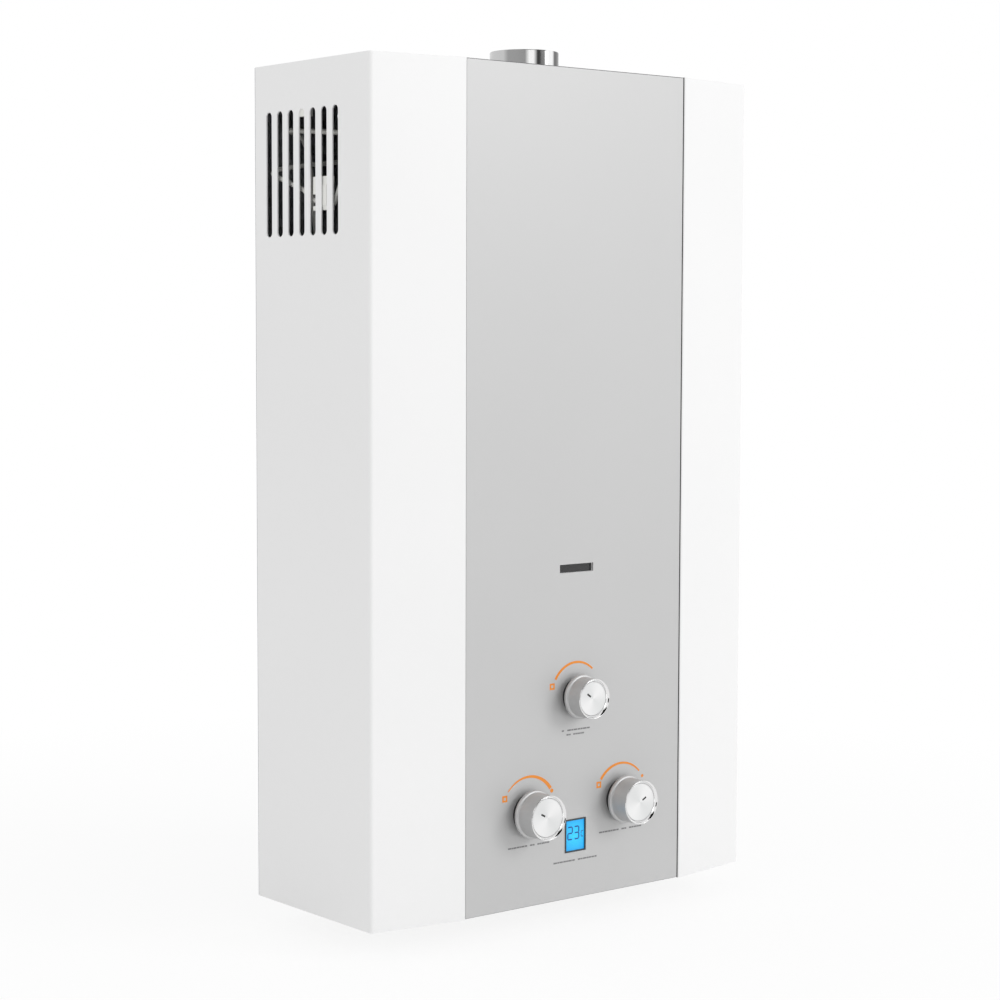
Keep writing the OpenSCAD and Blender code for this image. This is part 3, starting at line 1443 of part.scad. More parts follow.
module control_box() {
    seam = 1.5;
    z = [box_z, box_z + box_h];
    lid = [box_left - seam, box_left];
    color("black") {
        block([box_left, box_right], [sheet, sheet + box_deep], z);
        block(lid, [sheet + seam, sheet + box_deep - seam], [z[0] + seam, z[1] - seam]);
    }
}
module harness_connector() {
    latch = 3;
    d = [connector_at, connector_end];
    z = [connector_low, connector_top];
    x = [connector_left, connector_left + connector_t];
    pad_low = case_h - pad_drop;
    color("white") {
        difference() {
            union() {
                block(x, d, z);
                block([x[0] - connector_gap / 2, x[1]], [d[0] + mouth_deep, d[1] - 1],
                    [z[0] + latch, z[1] - 2 * latch]);
            }
            block([x[0] - connector_gap, x[1] + over], [d[0] - over, d[0] + mouth_deep],
                [mouth_z - mouth_h / 2, mouth_z + mouth_h / 2]);
        }
        block([sheet - half_w, sheet - half_w + pad_t], [pad_at - pad_w / 2, pad_at + pad_w / 2],
            [pad_low, pad_low + pad_w]);
    }
}
module harness_wires() { color("whitesmoke") for (route = wire_routes) pipe(route, wire_d, 10, 6); }
module cable_gland() {
    color("dimgray") difference() {
        union() {
            rod_z(gland_at_x, gland_at, [sheet - gland_down, floor_z], gland_d);
            rod_z(gland_at_x, gland_at, [floor_z, floor_z + collar_h], gland_d + collar_h);
        }
        rod_z(gland_at_x, gland_at, [sheet - gland_down - over, floor_z + collar_h + over], gland_bore);
    }
}

back_plate();
front_cover();
front_panel();
top_plate();
bottom_plate();
case_screws();
sight_glass();
display_frame();
display_lens();
display_module();
gas_knob();
gas_knob_cap();
gas_spindle();
water_knob();
water_knob_cap();
water_spindle();
season_knob();
season_knob_cap();
season_spindle();
knob_bushes();
gas_valve_body();
gas_inlet_fitting();
solenoid_coil();
solenoid_plunger();
gas_manifold();
gas_nozzles();
burner_bars();
burner_frame();
burner_electrodes();
water_valve_body();
water_valve_cover();
diaphragm();
push_rod();
shutter_spring();
valve_screws();
water_inlet_fitting();
drain_plug();
flow_switch();
flow_switch_lever();
cold_pipe();
hot_pipe();
water_outlet_fitting();
pipe_locknuts();
combustion_shell();
shell_coil();
exchanger_fins();
exchanger_tubes();
support_brackets();
overheat_switch();
flue_hood();
fan_housing();
fan_impeller();
fan_motor();
flue_collar();
control_box();
harness_connector();
harness_wires();
cable_gland();
draught_switch();
draught_tube();
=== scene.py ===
# %% [markdown]
# # A wall-hung gas water heater
#
# The heater is a folded white sheet-metal cover round a burner, a heat exchanger and a fan.
# Its construction is already solid: every sheet, valve and screw comes from the imported model.
# This lesson adds what the solids can't hold: the paint and metal finishes, the printed scales, the lit
# display, plated knobs, cut threads and a wound spring, and the light and camera of a plain
# studio portrait.

import json
import math

import bmesh
import bpy
from mathutils import Matrix, Vector


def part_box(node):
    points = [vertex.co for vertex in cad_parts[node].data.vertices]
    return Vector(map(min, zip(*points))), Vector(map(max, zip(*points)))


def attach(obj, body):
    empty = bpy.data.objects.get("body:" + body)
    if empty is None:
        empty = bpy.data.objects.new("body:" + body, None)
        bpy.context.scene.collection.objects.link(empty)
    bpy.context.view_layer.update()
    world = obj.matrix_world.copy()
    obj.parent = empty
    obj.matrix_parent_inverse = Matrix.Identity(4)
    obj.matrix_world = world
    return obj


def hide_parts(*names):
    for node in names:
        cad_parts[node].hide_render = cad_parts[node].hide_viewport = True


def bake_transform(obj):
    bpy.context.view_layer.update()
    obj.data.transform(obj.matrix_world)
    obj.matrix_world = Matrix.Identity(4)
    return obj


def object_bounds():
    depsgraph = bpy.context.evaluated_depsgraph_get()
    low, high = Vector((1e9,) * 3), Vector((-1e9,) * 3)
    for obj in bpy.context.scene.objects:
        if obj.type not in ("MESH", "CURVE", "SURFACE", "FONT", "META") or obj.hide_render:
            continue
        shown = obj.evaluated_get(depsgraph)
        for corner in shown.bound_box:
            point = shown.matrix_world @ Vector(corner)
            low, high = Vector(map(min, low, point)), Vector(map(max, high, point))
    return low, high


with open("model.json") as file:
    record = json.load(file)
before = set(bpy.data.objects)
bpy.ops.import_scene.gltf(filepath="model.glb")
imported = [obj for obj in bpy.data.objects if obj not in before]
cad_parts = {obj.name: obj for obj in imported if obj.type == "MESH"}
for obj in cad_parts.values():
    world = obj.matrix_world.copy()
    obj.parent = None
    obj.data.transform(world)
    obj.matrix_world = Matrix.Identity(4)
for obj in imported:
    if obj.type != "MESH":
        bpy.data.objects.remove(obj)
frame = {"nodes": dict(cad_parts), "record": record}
nodes = frame["nodes"]
cad_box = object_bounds()
MM = 0.001
print("heater:", len(nodes), "nodes,", [round((b - a) / MM) for a, b in zip(*cad_box)], "mm")

# %% [markdown]
# ## The camera
#
# The camera stands to the left and a little above the middle, so that one side wall, the front and
# the flue collar show. Its place and lens were worked out from the casing's upright edges.
# A long lens is used, because it keeps those edges almost parallel, as a catalogue picture does.

# %% Place the camera
CAMERA_AT = (-1.0966, -1.4135, 0.1176)
CAMERA_ROUND, CAMERA_DOWN, CAMERA_LEAN = -39.05, 4.313, 0.166  # degrees

camera_data = bpy.data.cameras.new("portrait_camera")
camera_data.sensor_width = 36.0
camera_data.lens = 84.41
camera = bpy.data.objects.new("portrait_camera", camera_data)
bpy.context.scene.collection.objects.link(camera)
bpy.context.scene.camera = camera
look_round = Matrix.Rotation(math.radians(CAMERA_ROUND), 4, "Z")
look_down = Matrix.Rotation(math.radians(90 - CAMERA_DOWN), 4, "X")
lean = Matrix.Rotation(math.radians(CAMERA_LEAN), 4, "Z")
camera.matrix_world = Matrix.Translation(CAMERA_AT) @ look_round @ look_down @ lean
print("camera at", [round(c, 3) for c in camera.location], "with a lens of", camera_data.lens, "mm")

# %% [markdown]
# ## Studio light
#
# White paint only looks white when it is lit evenly, and only looks solid when its faces differ a little.
# A pale world gives the even part. A broad lamp on the right lifts the front, and a weaker one high on
# the left keeps the side wall a step darker. What the camera, metal and glass see behind the
# heater is plain white, set apart from the light that falls on it.

# %% World and lamps
WHITE = (1.0, 1.0, 1.0, 1.0)
world = bpy.data.worlds.new("studio")
bpy.context.scene.world = world
world.use_nodes = True
world.node_tree.nodes.clear()


def add_node(tree, kind, x, y, **settings):
    """Adds one node at a place in the editor, with its settings and unlinked inputs filled in."""
    node = tree.nodes.new(kind)
    node.location = (x, y)
    for name, value in settings.items():
        if hasattr(node, name):
            setattr(node, name, value)
        else:
            node.inputs[name.replace("_", " ")].default_value = value
    return node


def link(tree, *pairs):
    """Joins each output to its input."""
    for source, target in pairs:
        tree.links.new(source, target)


def seen_directly(tree, x, y):
    """A mask that is 1 for what the eye sees straight on, in metal or through glass."""
    path = add_node(tree, "ShaderNodeLightPath", x, y)
    metal = add_node(tree, "ShaderNodeMath", x + 200, y, operation="MAXIMUM")
    glass = add_node(tree, "ShaderNodeMath", x + 400, y, operation="MAXIMUM")
    link(tree, (path.outputs["Is Camera Ray"], metal.inputs[0]), (path.outputs["Is Glossy Ray"], metal.inputs[1]),
         (metal.outputs[0], glass.inputs[0]), (path.outputs["Is Transmission Ray"], glass.inputs[1]))
    return glass.outputs[0]


tree = world.node_tree
room_light = add_node(tree, "ShaderNodeBackground", 0, 200, Color=WHITE, Strength=0.70)
white_paper = add_node(tree, "ShaderNodeBackground", 0, 0, Color=WHITE, Strength=1.0)
either = add_node(tree, "ShaderNodeMixShader", 250, 100)
sky = add_node(tree, "ShaderNodeOutputWorld", 450, 100)
link(tree, (seen_directly(tree, -700, 300), either.inputs["Fac"]), (room_light.outputs[0], either.inputs[1]),
     (white_paper.outputs[0], either.inputs[2]), (either.outputs[0], sky.inputs["Surface"]))


def add_lamp(name, place, aim, size, power):
    """A square soft lamp that points at one spot of the heater."""
    lamp_data = bpy.data.lights.new(name, "AREA")
    lamp_data.shape = "SQUARE"
    lamp_data.size = size
    lamp_data.energy = power
    lamp = bpy.data.objects.new(name, lamp_data)
    bpy.context.scene.collection.objects.link(lamp)
    way = Vector(aim) - Vector(place)
    lamp.matrix_world = Matrix.Translation(place) @ way.to_track_quat("-Z", "Y").to_matrix().to_4x4()
    return lamp


add_lamp("front_lamp", place=(2.5, -4.4, 2.0), aim=(0, -0.1, 0.05), size=2.3, power=83.5)
add_lamp("side_lamp", place=(-2.4, -0.4, 1.7), aim=(-0.17, -0.08, 0.1), size=1.2, power=6.4)

# %% [markdown]
# ## Floor and dark cards
#
# A pale floor catches a soft shadow just under the heater. Part of its tone is a steady white of its own, and
# the rest answers to the light, so that the shadow stays. The share of white grows with the distance, so that
# the floor melts into the background. From below it is clear, so that the underside can be looked at too.
#
# Bright metal in a white room has nothing to reflect but white, and its edges vanish. Photographers use
# black cards for that. One stands beside the camera and one hangs higher up, and both show only in
# reflections. They darken the right and the lower right of the polished slope inside each knob's edge.

# %% Floor and cards
FLOOR_GAP, FLOOR_HALF = 0.5, 8.0  # millimetres under the heater, and metres from its middle to its edge
KNOBS_AT = Vector((0, -0.17, -0.2))


def add_stage(name, half, place, turn):
    """A flat square that belongs to the studio and not to the heater."""
    bm = bmesh.new()
    bmesh.ops.create_grid(bm, x_segments=2, y_segments=2, size=half, matrix=Matrix.Translation(place) @ turn)
    mesh = bpy.data.meshes.new(name)
    bm.to_mesh(mesh)
    bm.free()
    flat = bpy.data.objects.new(name, mesh)
    bpy.context.scene.collection.objects.link(flat)
    finish = bpy.data.materials.new(name + "_paper")
    finish.use_nodes = True
    finish.node_tree.nodes.clear()
    mesh.materials.append(finish)
    return finish.node_tree


floor_low = cad_box[0].z - FLOOR_GAP * MM
tree = add_stage("floor", FLOOR_HALF, (0, 0, floor_low), Matrix.Identity(4))
paper = add_node(tree, "ShaderNodeBsdfDiffuse", 0, 200, Color=(0.97, 0.97, 0.97, 1.0))
glow = add_node(tree, "ShaderNodeEmission", 0, 0, Strength=1.0)
place = add_node(tree, "ShaderNodeTexCoord", -700, 700)
reach = add_node(tree, "ShaderNodeVectorMath", -500, 700, operation="LENGTH")
whiter = add_node(tree, "ShaderNodeMapRange", -300, 700, From_Min=0.3, From_Max=0.9, To_Min=0.86, To_Max=1.0)
share = add_node(tree, "ShaderNodeMath", 0, 400, operation="MULTIPLY")
blend = add_node(tree, "ShaderNodeMixShader", 250, 100)
side = add_node(tree, "ShaderNodeNewGeometry", 250, 400)
clear = add_node(tree, "ShaderNodeBsdfTransparent", 250, -100)
one_way = add_node(tree, "ShaderNodeMixShader", 450, 100)
out = add_node(tree, "ShaderNodeOutputMaterial", 650, 100)
link(tree, (place.outputs["Object"], reach.inputs[0]), (reach.outputs["Value"], whiter.inputs["Value"]),
     (whiter.outputs[0], share.inputs[1]), (seen_directly(tree, -700, 400), share.inputs[0]),
     (share.outputs[0], blend.inputs["Fac"]), (paper.outputs[0], blend.inputs[1]),
     (glow.outputs[0], blend.inputs[2]), (side.outputs["Backfacing"], one_way.inputs["Fac"]),
     (blend.outputs[0], one_way.inputs[1]), (clear.outputs[0], one_way.inputs[2]),
     (one_way.outputs[0], out.inputs["Surface"]))


def add_dark_card(name, half, place):
    """A black square that faces the knobs and shows only in reflections."""
    way = KNOBS_AT - Vector(place)
    tree = add_stage(name, half, place, way.to_track_quat("Z", "Y").to_matrix().to_4x4())
    path = add_node(tree, "ShaderNodeLightPath", 0, 300)
    black = add_node(tree, "ShaderNodeBsdfDiffuse", 0, 0, Color=(0.02, 0.02, 0.02, 1.0))
    clear = add_node(tree, "ShaderNodeBsdfTransparent", 0, 150)
    reflected = add_node(tree, "ShaderNodeMixShader", 250, 100)
    out = add_node(tree, "ShaderNodeOutputMaterial", 450, 100)
    link(tree, (path.outputs["Is Glossy Ray"], reflected.inputs["Fac"]), (clear.outputs[0], reflected.inputs[1]),
         (black.outputs[0], reflected.inputs[2]), (reflected.outputs[0], out.inputs["Surface"]))


add_dark_card("dark_card_low", half=0.3, place=(-1.37, -1.42, -0.01))
add_dark_card("dark_card_high", half=0.5, place=(-0.32, -1.02, 0.99))
print("floor at", round(floor_low / MM, 1), "mm")

# %% [markdown]
# ## Effects that several finishes share
#
# Paint, zinc, brass and plastic differ in colour and gloss, but all have a fine texture and a slow drift of
# tone. That pair is one node group, `surface_texture`, which each finish places with its own grain and
# stretch. A second group, `spun_rings`, draws the turning marks of a lathe round any centre, and a painted
# reflection: two pale fans by the angle round it. Both read Object coordinates, so the pattern stays on the piece from
# every side.


# %% Shared node groups
def start_group(name, inputs, outputs):
    """A new shader node group with float inputs and outputs."""
    group = bpy.data.node_groups.new(name, "ShaderNodeTree")
    for label, value in inputs.items():
        group.interface.new_socket(label, in_out="INPUT", socket_type="NodeSocketFloat").default_value = value
    for label in outputs:
        group.interface.new_socket(label, in_out="OUTPUT", socket_type="NodeSocketFloat")
    return group, add_node(group, "NodeGroupInput", -900, 0), add_node(group, "NodeGroupOutput", 700, 0)


surface_texture, given, result = start_group(
    "surface_texture", {"Grain": 800.0, "Drift": 9.0, "Across": 1.0, "Deep": 1.0, "Tall": 1.0}, ["Height", "Tone"])
place = add_node(surface_texture, "ShaderNodeTexCoord", -900, 300)
stretch = add_node(surface_texture, "ShaderNodeCombineXYZ", -650, 0)
stretched = add_node(surface_texture, "ShaderNodeVectorMath", -450, 200, operation="MULTIPLY")
fine = add_node(surface_texture, "ShaderNodeTexNoise", -200, 250, Detail=3.0, Roughness=0.55)
slow = add_node(surface_texture, "ShaderNodeTexNoise", -200, -100, Detail=2.0, Roughness=0.5)
link(surface_texture, (given.outputs["Across"], stretch.inputs["X"]), (given.outputs["Deep"], stretch.inputs["Y"]),
     (given.outputs["Tall"], stretch.inputs["Z"]), (place.outputs["Object"], stretched.inputs[0]),
     (stretch.outputs[0], stretched.inputs[1]), (stretched.outputs[0], fine.inputs["Vector"]),
     (place.outputs["Object"], slow.inputs["Vector"]), (given.outputs["Grain"], fine.inputs["Scale"]),
     (given.outputs["Drift"], slow.inputs["Scale"]), (fine.outputs["Fac"], result.inputs["Height"]),
     (slow.outputs["Fac"], result.inputs["Tone"]))

spun_rings, given, result = start_group(
    "spun_rings", {"Centre X": 0.0, "Centre Z": 0.0, "Rings": 2600.0}, ["Height", "Painted Sheen"])
place = add_node(spun_rings, "ShaderNodeTexCoord", -900, 300)
apart = add_node(spun_rings, "ShaderNodeSeparateXYZ", -700, 300)
from_x = add_node(spun_rings, "ShaderNodeMath", -500, 350, operation="SUBTRACT")
from_z = add_node(spun_rings, "ShaderNodeMath", -500, 150, operation="SUBTRACT")
flat = add_node(spun_rings, "ShaderNodeCombineXYZ", -300, 250)
radius = add_node(spun_rings, "ShaderNodeVectorMath", -100, 300, operation="LENGTH")
uneven = add_node(spun_rings, "ShaderNodeTexNoise", 100, 300, noise_dimensions="1D", Detail=2.0)
# Two pale fans by the doubled angle: a painted reflection of spun metal, for the colour.
angle = add_node(spun_rings, "ShaderNodeMath", -100, 50, operation="ARCTAN2")
doubled = add_node(spun_rings, "ShaderNodeMath", 100, 50, operation="MULTIPLY")
doubled.inputs[1].default_value = 2.0
painted_fan_sheen = add_node(spun_rings, "ShaderNodeMath", 300, 50, operation="SINE")
link(spun_rings, (place.outputs["Object"], apart.inputs[0]), (apart.outputs["X"], from_x.inputs[0]),
     (given.outputs["Centre X"], from_x.inputs[1]), (apart.outputs["Z"], from_z.inputs[0]),
     (given.outputs["Centre Z"], from_z.inputs[1]), (from_x.outputs[0], flat.inputs["X"]),
     (from_z.outputs[0], flat.inputs["Z"]), (flat.outputs[0], radius.inputs[0]),
     (radius.outputs["Value"], uneven.inputs["W"]), (given.outputs["Rings"], uneven.inputs["Scale"]),
     (uneven.outputs["Fac"], result.inputs["Height"]), (from_z.outputs[0], angle.inputs[0]),
     (from_x.outputs[0], angle.inputs[1]), (angle.outputs[0], doubled.inputs[0]),
     (doubled.outputs[0], painted_fan_sheen.inputs[0]), (painted_fan_sheen.outputs[0], result.inputs["Painted Sheen"]))
print("node groups:", [g.name for g in bpy.data.node_groups])

# %% [markdown]
# ## Everyday finishes
#
# One recipe covers most of the heater. The slow drift mixes two close colours and moves the roughness a
# little, and the fine texture becomes a shallow bump. What changes from zinc to brass to nylon is the
# numbers, so they stand in one table, named by the record's material slots.

# %% A recipe for most finishes
COLOUR_A, COLOUR_B, MIXED = 6, 7, 2  # a Mix node's colour sockets, by number because their names repeat
RELIEF = 0.2  # millimetres that a bump of strength 1 stands for


def rgb(red, green, blue):
    """A display colour from 0 to 255, as the linear colour that shaders work in."""
    return tuple((c / 255 / 12.92 if c <= 10 else ((c / 255 + 0.055) / 1.055) ** 2.4)
                 for c in (red, green, blue)) + (1.0,)


def start_finish(name, **settings):
    """A material, its node tree and its shader, with some of the shader's inputs filled in."""
    finish = bpy.data.materials.new(name)
    finish.use_nodes = True
    shader = finish.node_tree.nodes["Principled BSDF"]
    for label, value in settings.items():
        shader.inputs[label.replace("_", " ")].default_value = value
    return finish, finish.node_tree, shader


def colour_mix(tree, x, y, first, second):
    """A Mix node that goes from one display colour to another."""
    mix = add_node(tree, "ShaderNodeMix", x, y, data_type="RGBA")
    mix.inputs[COLOUR_A].default_value = rgb(*first)
    mix.inputs[COLOUR_B].default_value = rgb(*second)
    return mix


def textured_finish(name, pale, deep, rough, metal=0.0, grain=800.0, drift=9.0, bump=0.06, run=(1, 1, 1), coat=0.0):
    """Two close colours, a range of roughness and a fine bump, by way of the shared texture."""
    finish, tree, shader = start_finish(name, Metallic=metal, Coat_Weight=coat, Coat_Roughness=0.12)
    across, deep_run, tall = run
    texture = add_node(tree, "ShaderNodeGroup", -700, 0, node_tree=surface_texture, Grain=grain, Drift=drift,
                       Across=across, Deep=deep_run, Tall=tall)
    colour = colour_mix(tree, -350, 200, deep, pale)
    gloss = add_node(tree, "ShaderNodeMapRange", -350, -50, To_Min=rough[0], To_Max=rough[1])
    relief = add_node(tree, "ShaderNodeBump", -350, -350, Strength=bump, Distance=RELIEF * MM)
    link(tree, (texture.outputs["Tone"], colour.inputs["Factor"]), (texture.outputs["Tone"], gloss.inputs["Value"]),
         (texture.outputs["Height"], relief.inputs["Height"]), (colour.outputs[MIXED], shader.inputs["Base Color"]),
         (gloss.outputs[0], shader.inputs["Roughness"]), (relief.outputs[0], shader.inputs["Normal"]))
    return finish


# slot: (name, pale colour, deep colour, range of roughness, metal, grain, drift, bump, other settings)
FINISH_TABLE = {
    "screw_steel": ("screw_steel", (208, 209, 211), (182, 183, 186), (0.22, 0.34), 1.0, 1500, 90, 0.08, {}),
    "circuit": ("circuit_board", (42, 104, 58), (28, 82, 44), (0.42, 0.55), 0.0, 900, 60, 0.06, {}),
    "brass": ("turned_brass", (208, 176, 108), (182, 146, 80), (0.24, 0.4), 1.0, 900, 40, 0.1,
              {"run": (0.3, 0.3, 3.0)}),
    "copper": ("copper_tube", (214, 138, 104), (176, 98, 66), (0.26, 0.44), 1.0, 500, 24, 0.08, {}),
    "die_cast": ("die_cast", (178, 180, 183), (156, 158, 161), (0.42, 0.58), 1.0, 1300, 30, 0.22, {}),
    "coil_case": ("moulded_case", (52, 52, 55), (36, 36, 38), (0.45, 0.6), 0.0, 1400, 30, 0.15, {}),
    "burner_steel": ("burner_steel", (166, 160, 152), (128, 116, 112), (0.34, 0.5), 1.0, 700, 18, 0.1,
                     {"run": (1, 0.2, 1)}),
    "ceramic": ("glazed_ceramic", (240, 238, 230), (228, 225, 214), (0.12, 0.2), 0.0, 300, 20, 0.03, {"coat": 0.5}),
    "rubber": ("moulded_rubber", (44, 44, 44), (30, 30, 30), (0.6, 0.75), 0.0, 1500, 40, 0.2, {}),
    "white_plastic": ("white_nylon", (243, 243, 239), (233, 233, 228), (0.3, 0.42), 0.0, 1600, 30, 0.06, {}),
    "wire_sleeve": ("wire_sleeve", (230, 230, 226), (212, 212, 206), (0.42, 0.55), 0.0, 1200, 60, 0.08, {}),
    "black_plastic": ("black_plastic", (40, 40, 41), (27, 27, 28), (0.4, 0.55), 0.0, 1500, 40, 0.18, {}),
    "clear_tube": ("silicone_tube", (212, 222, 226), (196, 208, 214), (0.3, 0.42), 0.0, 700, 50, 0.05, {}),
    "display_black": ("display_rim", (40, 52, 60), (26, 34, 40), (0.18, 0.28), 0.0, 1500, 40, 0.04, {"coat": 0.4}),
}
finishes = {slot: textured_finish(*row, **other) for slot, (*row, other) in FINISH_TABLE.items()}
print("finishes:", len(finishes))

# %% [markdown]
# ## Zinc spangle
#
# The back plate and the burner's frame are hot-dipped steel. As the zinc cools it freezes into flat crystals,
# a few millimetres wide, that each catch the light a little differently. Voronoi cells are just that
# pattern: every cell has one random colour, and one channel of it sets the crystal's tone and gloss.

# %% Zinc sheet
zinc, tree, shader = start_finish("zinc_spangle", Metallic=0.85)
place = add_node(tree, "ShaderNodeTexCoord", -1100, 100)
crystals = add_node(tree, "ShaderNodeTexVoronoi", -900, 100, Scale=170.0)
channel = add_node(tree, "ShaderNodeSeparateColor", -700, 100)
colour = colour_mix(tree, -350, 200, (158, 161, 164), (186, 189, 192))
gloss = add_node(tree, "ShaderNodeMapRange", -350, -50, To_Min=0.32, To_Max=0.50)
link(tree, (place.outputs["Object"], crystals.inputs["Vector"]), (crystals.outputs["Color"], channel.inputs["Color"]),
     (channel.outputs["Red"], colour.inputs["Factor"]), (channel.outputs["Red"], gloss.inputs["Value"]),
     (colour.outputs[MIXED], shader.inputs["Base Color"]), (gloss.outputs[0], shader.inputs["Roughness"]))
finishes["zinc_sheet"] = zinc
print("made", zinc.name)

# %% [markdown]
# ## Powder coat outside, unpainted sheet and painted shade inside
#
# The cover is sprayed white on its outer faces, with the slight orange-peel of baked powder. Its inner
# faces are unpainted sheet, given a dark grey far below that of sheet steel as painted shade, so that the
# inside looks dark through the vent slots. The two are told apart by the direction a face points: outer faces
# look away from the casing's middle. The recess behind the silver panel gets the same painted shade, which draws a
# fine line round the panel's edge.

# %% White powder coat
CASING_MIDDLE, LEVEL_ONLY = (0.0, -0.07, 0.0), (1.0, 1.0, 0.0)
LOOKS_INWARD = -0.06  # the way from the middle times the face's direction is less than this on inner faces
PANEL_RIM, RECESS_SLACK = 1.0, 0.08

white_coat, tree, shader = start_finish("white_powder_coat", Specular_IOR_Level=0.35)
texture = add_node(tree, "ShaderNodeGroup", -900, 0, node_tree=surface_texture, Grain=520.0, Drift=6.0)
place = add_node(tree, "ShaderNodeTexCoord", -1300, 500)
middle = add_node(tree, "ShaderNodeVectorMath", -1100, 500, operation="SUBTRACT")
middle.inputs[1].default_value = CASING_MIDDLE
level = add_node(tree, "ShaderNodeVectorMath", -900, 500, operation="MULTIPLY")
level.inputs[1].default_value = LEVEL_ONLY
facing = add_node(tree, "ShaderNodeVectorMath", -700, 500, operation="DOT_PRODUCT")
inside = add_node(tree, "ShaderNodeMath", -500, 500, operation="LESS_THAN")
inside.inputs[1].default_value = LOOKS_INWARD
# Faces of the recess behind the panel get painted shade, a dark line round the panel's edge.
apart = add_node(tree, "ShaderNodeSeparateXYZ", -1100, 750)
sideways = add_node(tree, "ShaderNodeMath", -900, 850, operation="ABSOLUTE")
behind_panel = add_node(tree, "ShaderNodeMath", -700, 850, operation="LESS_THAN")
behind_panel.inputs[1].default_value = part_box("front_panel")[1].x + PANEL_RIM * MM
recessed = add_node(tree, "ShaderNodeMath", -700, 700, operation="COMPARE")
recessed.inputs[1].default_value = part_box("front_panel")[1].y
recessed.inputs[2].default_value = RECESS_SLACK * MM
recess_shade = add_node(tree, "ShaderNodeMath", -500, 750, operation="MULTIPLY")
inner_and_recess_shade = add_node(tree, "ShaderNodeMath", -350, 600, operation="MAXIMUM")
coat_colour = colour_mix(tree, -600, 200, (243, 243, 243), (247, 247, 247))
# The dark grey is painted shade, for the inner faces and the recess behind the panel.
wall_colour = add_node(tree, "ShaderNodeMix", -350, 250, data_type="RGBA")
wall_colour.inputs[COLOUR_B].default_value = rgb(92, 93, 95)
gloss = add_node(tree, "ShaderNodeMapRange", -600, -50, To_Min=0.30, To_Max=0.38)
peel = add_node(tree, "ShaderNodeBump", -600, -350, Strength=0.05, Distance=RELIEF * MM)
link(tree, (place.outputs["Object"], middle.inputs[0]), (middle.outputs[0], level.inputs[0]),
     (level.outputs[0], facing.inputs[0]), (place.outputs["Normal"], facing.inputs[1]),
     (facing.outputs["Value"], inside.inputs[0]), (texture.outputs["Tone"], coat_colour.inputs["Factor"]),
     (place.outputs["Object"], apart.inputs[0]), (apart.outputs["X"], sideways.inputs[0]),
     (sideways.outputs[0], behind_panel.inputs[0]), (apart.outputs["Y"], recessed.inputs[0]),
     (behind_panel.outputs[0], recess_shade.inputs[0]), (recessed.outputs[0], recess_shade.inputs[1]),
     (inside.outputs[0], inner_and_recess_shade.inputs[0]), (recess_shade.outputs[0], inner_and_recess_shade.inputs[1]),
     (inner_and_recess_shade.outputs[0], wall_colour.inputs["Factor"]), (coat_colour.outputs[MIXED], wall_colour.inputs[COLOUR_A]),
     (wall_colour.outputs[MIXED], shader.inputs["Base Color"]), (texture.outputs["Tone"], gloss.inputs["Value"]),
     (gloss.outputs[0], shader.inputs["Roughness"]), (texture.outputs["Height"], peel.inputs["Height"]),
     (peel.outputs[0], shader.inputs["Normal"]))
finishes["white_paint"] = white_coat
print("made", white_coat.name)

# %% [markdown]
# ## The silver panel
#
# The flat panel on the front is steel with a satin metallic film. Film like this is made of tiny flakes in
# a clear binder: half metal, half paint. A very fine noise breaks the reflection up, and a faint upright
# grain shows where the film was drawn on.

# %% Satin panel film
panel_film = textured_finish("satin_silver_film", (201, 201, 201), (196, 196, 196), (0.40, 0.46), metal=0.25,
                             grain=2400, drift=5, bump=0.05, run=(1.0, 1.0, 0.06))
finishes["panel_silver"] = panel_film
print("made", panel_film.name)

# %% [markdown]
# ## Bright metals
#
# The flue collar is rolled stainless steel. Such a tube gathers the whole room into upright streaks, dark and
# bright; here those streaks are a painted reflection in its colour, which changes with the angle round the flue.
# Arctangent gives that angle, and a colour ramp turns it into painted streaks. The knobs are plated: satin on the
# grip, mirror-bright inside the edge.

# %% Flue and knob metals
# The grey and the tones below are a painted reflection of the room, as upright streaks in the flue's colour.
PAINTED_REFLECTION_GREY = (200, 200, 201)
PAINTED_REFLECTION_STREAKS = ((-76, 194), (-67, 152), (-38, 148), (-31, 246), (-24, 246), (-17, 58), (-4, 76), (3, 246), (15, 246),
           (21, 104), (48, 92), (80, 214), (130, 140))  # degrees round from the front, and the tone there

flue_steel, tree, shader = start_finish("stainless_painted_reflection", Metallic=1.0, Roughness=0.16)
flue_low, flue_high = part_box("flue_collar")
flue_middle = (flue_low + flue_high) / 2
place = add_node(tree, "ShaderNodeTexCoord", -1300, 200)
centred = add_node(tree, "ShaderNodeVectorMath", -1100, 200, operation="SUBTRACT")
centred.inputs[1].default_value = flue_middle
apart = add_node(tree, "ShaderNodeSeparateXYZ", -900, 200)
forward = add_node(tree, "ShaderNodeMath", -700, 100, operation="MULTIPLY")
forward.inputs[1].default_value = -1.0
angle = add_node(tree, "ShaderNodeMath", -500, 200, operation="ARCTAN2")
turn = add_node(tree, "ShaderNodeMapRange", -350, 200, From_Min=-math.pi, From_Max=math.pi)
painted_streak_ramp = add_node(tree, "ShaderNodeValToRGB", -150, 250)
ramp = painted_streak_ramp.color_ramp
ramp.elements[0].color = ramp.elements[1].color = rgb(*PAINTED_REFLECTION_GREY)
for degrees, tone in PAINTED_REFLECTION_STREAKS:
    ramp.elements.new((degrees + 180) / 360).color = rgb(tone, tone, tone)
texture = add_node(tree, "ShaderNodeGroup", -700, -150, node_tree=surface_texture, Grain=1400.0, Tall=0.05)
relief = add_node(tree, "ShaderNodeBump", -350, -200, Strength=0.04, Distance=RELIEF * MM)
